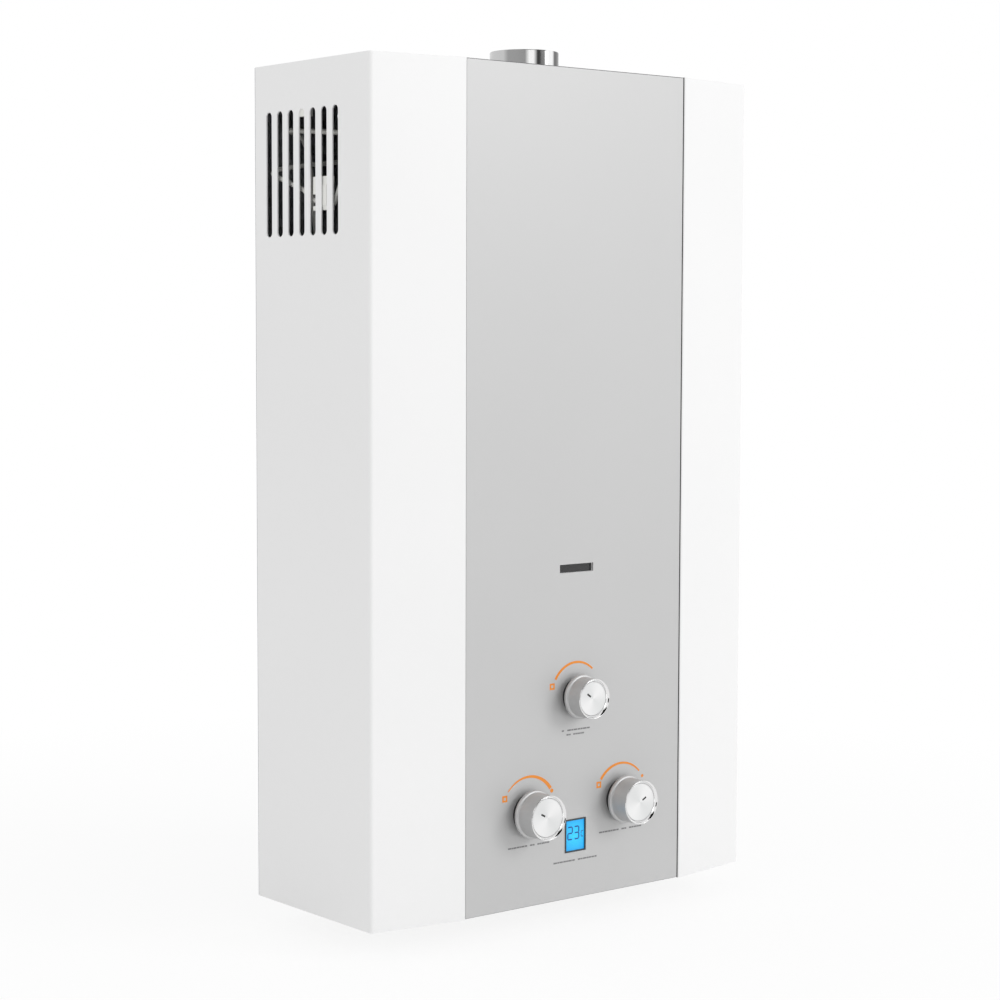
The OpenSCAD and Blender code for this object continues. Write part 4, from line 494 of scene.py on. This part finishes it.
link(tree, (place.outputs["Object"], centred.inputs[0]), (centred.outputs[0], apart.inputs[0]),
     (apart.outputs["X"], angle.inputs[0]), (apart.outputs["Y"], forward.inputs[0]),
     (forward.outputs[0], angle.inputs[1]), (angle.outputs[0], turn.inputs["Value"]),
     (turn.outputs[0], painted_streak_ramp.inputs["Fac"]), (painted_streak_ramp.outputs["Color"], shader.inputs["Base Color"]),
     (texture.outputs["Height"], relief.inputs["Height"]), (relief.outputs[0], shader.inputs["Normal"]))
finishes["flue_steel"] = flue_steel

knob_satin = textured_finish("knob_satin_plate", (202, 202, 202), (188, 188, 188), (0.46, 0.56), metal=0.7,
                             grain=1600, drift=120, bump=0.05, run=(1.0, 0.08, 1.0))
knob_polish = textured_finish("knob_polished_plate", (238, 238, 238), (226, 226, 226), (0.06, 0.12), metal=1.0,
                              grain=900, drift=80, bump=0.01)
finishes["knob_silver"] = knob_satin
print("made", flue_steel.name, knob_satin.name, knob_polish.name)

# %% [markdown]
# ## Glass and the lit display
#
# The sight window is a strip of smoked heat glass over a dark burner. The display is a liquid-crystal cell
# with a blue light behind it. The light is strongest in the middle and fades to the rim, so the blue is mixed
# by the distance from the cell's centre, and it gives off some light of its own.

# %% Sight glass and display
LIT_REACH = 15.0  # millimetres from the middle to where the deeper blue is reached

sight_glass, tree, shader = start_finish("smoked_heat_glass", Transmission_Weight=0.35, Roughness=0.1)
texture = add_node(tree, "ShaderNodeGroup", -700, 0, node_tree=surface_texture, Drift=60.0)
smoke = colour_mix(tree, -350, 100, (50, 50, 51), (66, 66, 67))
link(tree, (texture.outputs["Tone"], smoke.inputs["Factor"]), (smoke.outputs[MIXED], shader.inputs["Base Color"]))
finishes["sight_glass"] = sight_glass

lit_blue, tree, shader = start_finish("lit_blue_display", Emission_Strength=0.45, Roughness=0.2)
lens_low, lens_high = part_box("display_lens")
lens_middle = (lens_low + lens_high) / 2
place = add_node(tree, "ShaderNodeTexCoord", -1100, 0)
centred = add_node(tree, "ShaderNodeVectorMath", -900, 0, operation="SUBTRACT")
centred.inputs[1].default_value = lens_middle
distance = add_node(tree, "ShaderNodeVectorMath", -700, 0, operation="LENGTH")
fade = add_node(tree, "ShaderNodeMapRange", -500, 0, From_Max=LIT_REACH * MM)
blue = colour_mix(tree, -300, 0, (44, 190, 240), (16, 146, 214))
link(tree, (place.outputs["Object"], centred.inputs[0]), (centred.outputs[0], distance.inputs[0]),
     (distance.outputs["Value"], fade.inputs["Value"]), (fade.outputs[0], blue.inputs["Factor"]),
     (blue.outputs[MIXED], shader.inputs["Base Color"]), (blue.outputs[MIXED], shader.inputs["Emission Color"]))
finishes["display_blue"] = lit_blue
print("made", sight_glass.name, lit_blue.name)

# %% [markdown]
# ## Spun knob faces
#
# Each knob has an aluminium disc let into its face, turned on a lathe. The fine rings come from `spun_rings`,
# placed on the knob's own axis, and the same group gives the two pale fans that spun metal shows, as a painted
# reflection in the colour. There are three knobs, so there are three materials that differ only in where their centre
# is.

# %% Spun aluminium
RING_RELIEF = 0.05


def spun_face(name, node):
    """Spun aluminium whose rings are centred on one knob's face."""
    finish, tree, shader = start_finish(name, Metallic=0.85, Roughness=0.32)
    low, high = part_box(node)
    rings = add_node(tree, "ShaderNodeGroup", -700, 0, node_tree=spun_rings, Centre_X=(low.x + high.x) / 2,
                     Centre_Z=(low.z + high.z) / 2)
    # The fans set the face colour: a painted reflection.
    tone = add_node(tree, "ShaderNodeMapRange", -500, 150, From_Min=-1.0)
    colour = colour_mix(tree, -300, 150, (225, 226, 226), (241, 241, 241))
    relief = add_node(tree, "ShaderNodeBump", -300, -200, Strength=0.12, Distance=RING_RELIEF * MM)
    link(tree, (rings.outputs["Painted Sheen"], tone.inputs["Value"]), (tone.outputs[0], colour.inputs["Factor"]),
         (colour.outputs[MIXED], shader.inputs["Base Color"]), (rings.outputs["Height"], relief.inputs["Height"]),
         (relief.outputs[0], shader.inputs["Normal"]))
    return finish


spun_faces = {node: spun_face(node + "_spun", node)
              for node in ("gas_knob_cap", "water_knob_cap", "season_knob_cap")}
print("made", list(spun_faces))

# %% [markdown]
# ## Dress the solids
#
# Each node names a material slot in the record. Going through that list once gives every solid its finish,
# and any node with a finish of its own, such as a spun face, takes that instead.

# %% Give each node its finish
for subpart in frame["record"]["subparts"]:
    solid = nodes[subpart["node"]]
    finish = spun_faces.get(subpart["node"]) or finishes[subpart["material_slot"]]
    solid.data.materials.clear()
    solid.data.materials.append(finish)

# %% [markdown]
# ## Knobs
#
# A knob is turned, so its side view is drawn once as a chain of points, the corners of that chain are rounded
# with a vertex bevel, and the chain is spun about the knob's axis. The foot flange and the grip are satin. A
# polished slope leads from the edge down to the face disc, which lies a little deeper.

# %% Turn the knobs
KNOB_STEPS, CORNER_STEPS, KNOB_SHARP = 96, 4, 50
KNOB_WALL, HUB_R, SPINDLE_R, HUB_LOW = 2, 7, 4.06, 1.0
DISC_GAP, DISC_SEAT, WEB_DEEP, SPINDLE_DEEP = 0.1, 1.2, 3.2, 4.2  # the last three lie under the disc's top
FLANGE_RIM, FLANGE_TOP, EDGE_CUT, GRIP_SKIN = 2.4, 2.8, 0.3, 0.05
KNOB_SOFT = {7: 0.4, 8: 0.9, 9: 0.25, 10: 0.1, 11: 0.12}  # corners of the side view and their rounding


def out_of_panel(x, y, z):
    """Stands local Z out of the panel and local Y upright, at one place."""
    return Matrix.Translation((x, y, z)) @ Matrix.Rotation(math.radians(90), 4, "X")


def new_piece(name, bm, body, slot, *materials, smooth=False):
    """Makes a finished bmesh an object that rides on one of the heater's bodies, if one is named."""
    mesh = bpy.data.meshes.new(name)
    if smooth:
        for face in bm.faces:
            face.smooth = True
    bm.to_mesh(mesh)
    bm.free()
    for material in materials:
        mesh.materials.append(material)
    piece = bpy.data.objects.new(name, mesh)
    bpy.context.scene.collection.objects.link(piece)
    if body:
        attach(piece, body)
    return piece


def turned(profile, steps, soft=()):
    """Spins a chain of (radius, height) points in millimetres about Z, with each soft corner rounded."""
    bm = bmesh.new()
    chain = [bm.verts.new((r * MM, 0, h * MM)) for r, h in profile]
    for a, b in zip(chain, chain[1:]):
        bm.edges.new((a, b))
    for corner, rounding in dict(soft).items():
        bmesh.ops.bevel(bm, geom=[chain[corner]], offset=rounding * MM, segments=CORNER_STEPS, profile=0.5,
                        affect="VERTICES", material=-1)
    bmesh.ops.spin(bm, geom=bm.verts[:] + bm.edges[:], cent=(0, 0, 0), axis=(0, 0, 1), angle=math.tau,
                   steps=steps, use_merge=True)
    bmesh.ops.remove_doubles(bm, verts=bm.verts[:], dist=1e-6)
    bmesh.ops.recalc_face_normals(bm, faces=bm.faces[:])
    return bm


def make_knob(node, side_r, flange_r):
    """A plated knob in the place of one CAD knob."""
    low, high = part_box(node)
    cap_low, cap_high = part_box(node + "_cap")
    edge = (high.y - low.y) / MM
    disc_top = (high.y - cap_low.y) / MM
    disc_r = (cap_high.x - cap_low.x) / 2 / MM + DISC_GAP
    profile = [(0, disc_top - SPINDLE_DEEP), (SPINDLE_R, disc_top - SPINDLE_DEEP), (SPINDLE_R, HUB_LOW),
               (HUB_R, HUB_LOW), (HUB_R, disc_top - WEB_DEEP), (side_r - KNOB_WALL, disc_top - WEB_DEEP),
               (side_r - KNOB_WALL, 0), (flange_r, 0), (flange_r, FLANGE_RIM), (side_r, FLANGE_TOP),
               (side_r, edge - EDGE_CUT), (side_r - EDGE_CUT, edge), (disc_r, disc_top),
               (disc_r, disc_top - DISC_SEAT), (0, disc_top - DISC_SEAT)]
    bm = turned(profile, KNOB_STEPS, soft=KNOB_SOFT)
    for face in bm.faces:
        middle = face.calc_center_median() / MM
        if middle.z > disc_top and middle.xy.length < side_r - GRIP_SKIN:
            face.material_index = 1
    bmesh.ops.transform(bm, matrix=out_of_panel((low.x + high.x) / 2, high.y, (low.z + high.z) / 2),
                        verts=bm.verts[:])
    piece = new_piece(node + "_plated", bm, node, "knob_silver", knob_satin, knob_polish, smooth=True)
    piece.data.set_sharp_from_angle(angle=math.radians(KNOB_SHARP))
    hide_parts(node)
    return piece


knobs = [make_knob("gas_knob", side_r=16.0, flange_r=17.5), make_knob("water_knob", side_r=16.0, flange_r=17.5),
         make_knob("season_knob", side_r=14.4, flange_r=16.0)]
print("turned", [k.name for k in knobs])

# %% [markdown]
# ## Pointers
#
# The notch in each face is filled with black paint. A small bar lies in the notch, just under the face, and
# turns with the knob. Its angle at rest is where the knob's pointer stands in the picture.

# %% Black pointers
POINTER_LONG, POINTER_WIDE, POINTER_DEEP = 4.0, 1.3, 0.34
POINTER_EDGE, POINTER_OUT, POINTER_SUNK = 0.08, 4.6, 0.2
black_ink = textured_finish("black_ink", (26, 26, 26), (16, 16, 16), (0.65, 0.75), grain=1800, drift=90, bump=0.05)


def fill_notch(name, cap, body, rest):
    """A painted bar in one knob's pointer notch, at its angle at rest."""
    low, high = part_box(cap)
    bm = bmesh.new()
    bmesh.ops.create_cube(bm, size=1.0)
    bmesh.ops.scale(bm, vec=(POINTER_LONG * MM, POINTER_WIDE * MM, POINTER_DEEP * MM), verts=bm.verts[:])
    bmesh.ops.bevel(bm, geom=bm.edges[:], offset=POINTER_EDGE * MM, segments=2, profile=0.5, affect="EDGES",
                    material=-1)
    bmesh.ops.translate(bm, vec=(POINTER_OUT * MM, 0, -POINTER_SUNK * MM), verts=bm.verts[:])
    bmesh.ops.rotate(bm, cent=(0, 0, 0), matrix=Matrix.Rotation(math.radians(rest), 3, "Z"), verts=bm.verts[:])
    bmesh.ops.transform(bm, matrix=out_of_panel((low.x + high.x) / 2, low.y, (low.z + high.z) / 2),
                        verts=bm.verts[:])
    return new_piece(name, bm, body, "black_plastic", black_ink)


pointers = [fill_notch("gas_pointer", "gas_knob_cap", "gas_knob", rest=152),
            fill_notch("water_pointer", "water_knob_cap", "water_knob", rest=28),
            fill_notch("season_pointer", "season_knob_cap", "season_knob", rest=145)]
print("pointers:", [p.name for p in pointers])

# %% [markdown]
# ## Printed scales
#
# Orange arcs above the knobs show which way is more. Each arc is a short bar of ink spun round a point just
# above the knob's axis, and then widened towards one end by moving its edges. A small open square marks the
# off position. Ink has next to no thickness, so it stands only a few hundredths of a millimetre off the panel.

# %% Orange scales
orange_ink = textured_finish("orange_ink", (244, 152, 54), (236, 138, 40), (0.45, 0.55), grain=1500, drift=70,
                             bump=0.04)
panel_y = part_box("front_panel")[0].y
INK, INK_GAP = 0.06, 0.01
SCALE_UP = 1.6
STROKE, ARC_STEPS, SPOT_SIDES = 1, 40, 16
SQUARE_SIZE, SQUARE_LINE = 4.6, 1.3


def scale_middle(node):
    """Where the middle of a knob's scale is on the panel."""
    low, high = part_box(node)
    return (low.x + high.x) / 2, panel_y, (low.z + high.z) / 2 + SCALE_UP * MM


def ink_arc(radius, start, end, wide_start, wide_end):
    """A flat arc of ink from one angle to another, with its width changing evenly between them."""
    bm = bmesh.new()
    inner = bm.verts.new((radius * MM, 0, INK * MM))
    outer = bm.verts.new(((radius + STROKE) * MM, 0, INK * MM))
    bar = bm.edges.new((inner, outer))
    bmesh.ops.rotate(bm, cent=(0, 0, 0), matrix=Matrix.Rotation(math.radians(start), 3, "Z"), verts=bm.verts[:])
    bmesh.ops.spin(bm, geom=[inner, outer, bar], cent=(0, 0, 0), axis=(0, 0, 1), angle=math.radians(end - start),
                   steps=ARC_STEPS)
    for vert in bm.verts:
        way = vert.co.xy.normalized()
        share = (math.degrees(math.atan2(way.y, way.x)) - start) / (end - start)
        half = (wide_start + (wide_end - wide_start) * share) / 2
        side = 1 if vert.co.xy.length > (radius + STROKE / 2) * MM else -1
        vert.co.xy = way * (radius + side * half) * MM
    return bm


def ink_square(bm, at, radius):
    """An open square of ink beside the arc."""
    spot = Matrix.Rotation(math.radians(at), 4, "Z") @ Vector((radius * MM, 0, INK * MM))
    fresh = bmesh.ops.create_grid(bm, x_segments=1, y_segments=1, size=SQUARE_SIZE * MM / 2,
                                  matrix=Matrix.Translation(spot))
    face = fresh["verts"][0].link_faces[0]
    bmesh.ops.inset_individual(bm, faces=[face], thickness=SQUARE_LINE * MM, use_even_offset=True)
    bmesh.ops.delete(bm, geom=[face], context="FACES_ONLY")


def print_scale(name, node, radius, arc, widths, square, spots=()):
    """One knob's arc, off mark and end marks, placed by angle and radius, as a single thin piece of ink."""
    bm = ink_arc(radius, *arc, *widths)
    ink_square(bm, *square)
    for at, far, size in spots:
        spot = Matrix.Rotation(math.radians(at), 4, "Z") @ Vector((far * MM, 0, INK * MM))
        bmesh.ops.create_circle(bm, cap_ends=True, segments=SPOT_SIDES, radius=size * MM / 2,
                                matrix=Matrix.Translation(spot))
    bmesh.ops.recalc_face_normals(bm, faces=bm.faces[:])
    for face in bm.faces:
        if face.normal.z < 0:
            face.normal_flip()
    bmesh.ops.solidify(bm, geom=bm.faces[:], thickness=(INK - INK_GAP) * MM)
    bmesh.ops.transform(bm, matrix=out_of_panel(*scale_middle(node)), verts=bm.verts[:])
    return new_piece(name, bm, "heater", "panel_silver", orange_ink)


scales = [
    print_scale("gas_scale", "gas_knob", radius=24.5, arc=(140, 34), widths=(0.8, 2.8), square=(153, 24.5),
                spots=[(29, 24.6, 3.0)]),
    print_scale("water_scale", "water_knob", radius=24.2, arc=(144, 42), widths=(2.2, 1.2), square=(154, 24.0),
                spots=[(30, 24.4, 2.4)]),
    print_scale("season_scale", "season_knob", radius=22.7, arc=(149, 47), widths=(2.0, 1.4), square=(163, 23.5)),
]
print("scales:", [s.name for s in scales])

# %% [markdown]
# ## Caption marks
#
# Under each knob and the display is a row of short grey bars. They are as small as print would be, and as
# long as words, so they give the panel its layout.

# %% Caption marks
grey_ink = textured_finish("grey_ink", (134, 134, 135), (120, 120, 121), (0.45, 0.55), grain=1500, drift=70, bump=0.04)
casing_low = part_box("front_cover")[0].z
BAR_SHARE, BAR_TALL, FACES_OF_BAR = 0.86, 1.1, 6


def caption_row(bm, left, right, height, bars):
    """A row of bars between two places, each given as its share of the row, where a minus makes a gap."""
    scale = (right - left) / sum(abs(b) for b in bars)
    x = left
    for bar in bars:
        wide = abs(bar) * scale
        if bar > 0:
            spot = Matrix.Translation(((x + wide / 2) * MM, panel_y - INK / 2 * MM, casing_low + height * MM))
            size = Matrix.Diagonal((wide * BAR_SHARE * MM, INK * MM, BAR_TALL * MM, 1.0))
            bmesh.ops.create_cube(bm, size=1.0, matrix=spot @ size)
        x += wide


bm = bmesh.new()
word_long, word_mid, word_short, gap = [2, 1, 2, 1.5, 1, 2, 1.5], [1.5, 1, 2, 1, 1.5], [1.6, 1.2], [-1.4]
caption_row(bm, -13.5, 13.5, 123.4, [1.2] + gap + word_long)
caption_row(bm, -9, 8, 120.2, word_short + gap + word_mid)
caption_row(bm, -63, -24.5, 44.5, word_long + gap + word_short + gap + word_mid)
caption_row(bm, 22.7, 64.7, 44.7, word_long + gap + word_short + gap + word_mid)
caption_row(bm, -20.8, 20.8, 28.0, word_long + gap + word_mid + word_short)
captions = new_piece("caption_marks", bm, "heater", "panel_silver", grey_ink)
print("caption bars:", len(captions.data.polygons) // FACES_OF_BAR)

# %% [markdown]
# ## Digits in the display
#
# The display shows the water's temperature in seven-segment figures. Each segment is a thin bar with
# chamfered ends, and a table of which segments are lit turns a figure into bars. They lie just in front of the
# lens and are a deeper blue than it.

# %% Seven-segment figures
digit_blue = textured_finish("digit_blue", (14, 96, 168), (8, 84, 154), (0.3, 0.4), grain=1500, drift=90, bump=0.02)
SEGMENTS = {"2": "abged", "3": "abgcd", "C": "afed"}
DIGIT_OUT, DIGIT_THICK = 0.05, 0.08
SEGMENT_CUT, SEGMENT_GAP = 0.4, 0.35  # shares of a segment's width
lens_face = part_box("display_lens")[0].y


def add_segment(bm, x, z, long, thick, upright):
    """One lit bar of a figure, in millimetres from the middle of the display."""
    wide, tall = (thick, long) if upright else (long, thick)
    spot = Matrix.Translation((lens_middle.x + x * MM, lens_face - DIGIT_OUT * MM, lens_middle.z + z * MM))
    fresh = bmesh.ops.create_cube(bm, size=1.0,
                                  matrix=spot @ Matrix.Diagonal((wide * MM, DIGIT_THICK * MM, tall * MM, 1)))
    corners = {e for v in fresh["verts"] for e in v.link_edges if abs(e.verts[0].co.y - e.verts[1].co.y) > 1e-6}
    bmesh.ops.bevel(bm, geom=list(corners), offset=thick * SEGMENT_CUT * MM, segments=1, profile=0.5,
                    affect="EDGES", material=-1)


def add_figure(bm, figure, x, z, wide, tall, thick):
    """A whole figure with its middle at x, z."""
    half_w, half_h = wide / 2, tall / 2
    places = {"a": (0, half_h, False), "g": (0, 0, False), "d": (0, -half_h, False),
              "f": (-half_w, half_h / 2, True), "b": (half_w, half_h / 2, True),
              "e": (-half_w, -half_h / 2, True), "c": (half_w, -half_h / 2, True)}
    for name in SEGMENTS[figure]:
        dx, dz, upright = places[name]
        long = (half_h if upright else wide) - thick * SEGMENT_GAP
        add_segment(bm, x + dx, z + dz, long, thick, upright)


bm = bmesh.new()
add_figure(bm, "2", x=-4.6, z=1.6, wide=4.2, tall=9.0, thick=1.0)
add_figure(bm, "3", x=1.6, z=1.6, wide=4.2, tall=9.0, thick=1.0)
add_figure(bm, "C", x=6.9, z=0.2, wide=2.0, tall=4.0, thick=0.6)
digits = new_piece("display_digits", bm, "heater", "display_blue", digit_blue)
print("digits:", len(digits.data.polygons), "faces")

# %% [markdown]
# ## Cut threads on the pipe stubs
#
# In the solids the threads are plain cylinders. Here each stub gets its real half-inch pipe thread: the body is
# turned at the thread's root, and a small tooth is spun up it in a helix, by a spin that also climbs a little
# at every step.

# %% Threaded fittings
THREAD_R, ROOT_R, PITCH, SHANK_R, BORE_R = 10.45, 9.35, 1.814, 11.98, 7.0
THREAD_END, PLATE_AT, MOUTH_CUT, MOUTH_LONG = 15.0, 22.0, 0.4, 0.5
TOOTH_LOW, TOOTH_TIP, TOOTH_HIGH, TOOTH_SUNK = 1.0, 1.75, 2.5, 0.05
THREAD_TURNS, TURN_STEPS, FITTING_STEPS, FITTING_SHARP = 6.8, 32, 64, 35
HEX_R, HEX_TALL, HEX_EDGE = 17.3, 6, 0.5


def threaded_fitting(node):
    """A brass fitting with a cut thread, a hexagon and a bore, in the place of one CAD fitting."""
    low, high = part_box(node)
    top = (high.z - low.z) / MM
    profile = [(BORE_R, MOUTH_CUT), (BORE_R + MOUTH_LONG, 0), (ROOT_R - MOUTH_CUT, 0), (ROOT_R, MOUTH_LONG),
               (ROOT_R, THREAD_END), (SHANK_R, THREAD_END), (SHANK_R, PLATE_AT), (THREAD_R, PLATE_AT),
               (THREAD_R, top), (BORE_R, top), (BORE_R, MOUTH_CUT)]
    bm = turned(profile, FITTING_STEPS)
    tooth_foot = (ROOT_R - TOOTH_SUNK) * MM
    tooth = [bm.verts.new((tooth_foot, 0, TOOTH_LOW * MM)), bm.verts.new((THREAD_R * MM, 0, TOOTH_TIP * MM)),
             bm.verts.new((tooth_foot, 0, TOOTH_HIGH * MM))]
    blade = bm.faces.new(tooth)
    bmesh.ops.spin(bm, geom=[blade], cent=(0, 0, 0), axis=(0, 0, 1), angle=math.tau * THREAD_TURNS,
                   steps=int(THREAD_TURNS * TURN_STEPS), dvec=(0, 0, PITCH / TURN_STEPS * MM))
    hexagon = bmesh.ops.create_cone(bm, cap_ends=True, segments=6, radius1=HEX_R * MM, radius2=HEX_R * MM,
                                    depth=HEX_TALL * MM,
                                    matrix=Matrix.Translation((0, 0, (PLATE_AT + HEX_TALL / 2) * MM)))
    rims = {e for v in hexagon["verts"] for e in v.link_edges}
    bmesh.ops.bevel(bm, geom=list(rims), offset=HEX_EDGE * MM, segments=2, profile=0.5, affect="EDGES", material=-1)
    bmesh.ops.recalc_face_normals(bm, faces=bm.faces[:])
    bmesh.ops.translate(bm, vec=((low.x + high.x) / 2, (low.y + high.y) / 2, low.z), verts=bm.verts[:])
    piece = new_piece(node + "_threaded", bm, "heater", "brass", finishes["brass"], smooth=True)
    piece.data.set_sharp_from_angle(angle=math.radians(FITTING_SHARP))
    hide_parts(node)
    return piece


fittings = [threaded_fitting(n) for n in ("gas_inlet_fitting", "water_inlet_fitting", "water_outlet_fitting")]
print("threaded", [(f.name, len(f.data.polygons)) for f in fittings])

# %% [markdown]
# ## The shutter spring
#
# A small coil spring presses the gas shutter on its seat. When water flows, the push rod lifts the shutter and
# the spring gets shorter, which a rigid solid can't show. The coil is wound here: a disc of wire is spun round
# the rod and moved along it at every step.

# %% Wind the spring
COIL_R, COIL_TURNS, COIL_STEPS = 8.5, 3.5, 126
WIRE_R, WIRE_SIDES = 0.6, 12
low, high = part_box("shutter_spring")
first_x, last_x = low.x + WIRE_R * MM, high.x - WIRE_R * MM
rod_y, rod_z = (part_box("push_rod")[0].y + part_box("push_rod")[1].y) / 2, (low.z + high.z) / 2
bm = bmesh.new()
disc = bmesh.ops.create_circle(bm, cap_ends=True, segments=WIRE_SIDES, radius=WIRE_R * MM,
                               matrix=Matrix.Translation((first_x, rod_y - COIL_R * MM, rod_z)))
bmesh.ops.spin(bm, geom=disc["verts"][0].link_faces[:], cent=(first_x, rod_y, rod_z), axis=(-1, 0, 0),
               angle=math.tau * COIL_TURNS, steps=COIL_STEPS, dvec=((last_x - first_x) / COIL_STEPS, 0, 0))
bmesh.ops.recalc_face_normals(bm, faces=bm.faces[:])
spring = new_piece("shutter_spring_coil", bm, None, "screw_steel", finishes["screw_steel"], smooth=True)
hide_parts("shutter_spring")
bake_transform(spring)
print("wound", spring.name, "from", round(first_x / MM, 1), "to", round(last_x / MM, 1), "mm")

# %% [markdown]
# ## Finish
#
# One last setting: colours are shown as they are written.

# %% Finish
bpy.context.scene.view_settings.view_transform = "Standard"
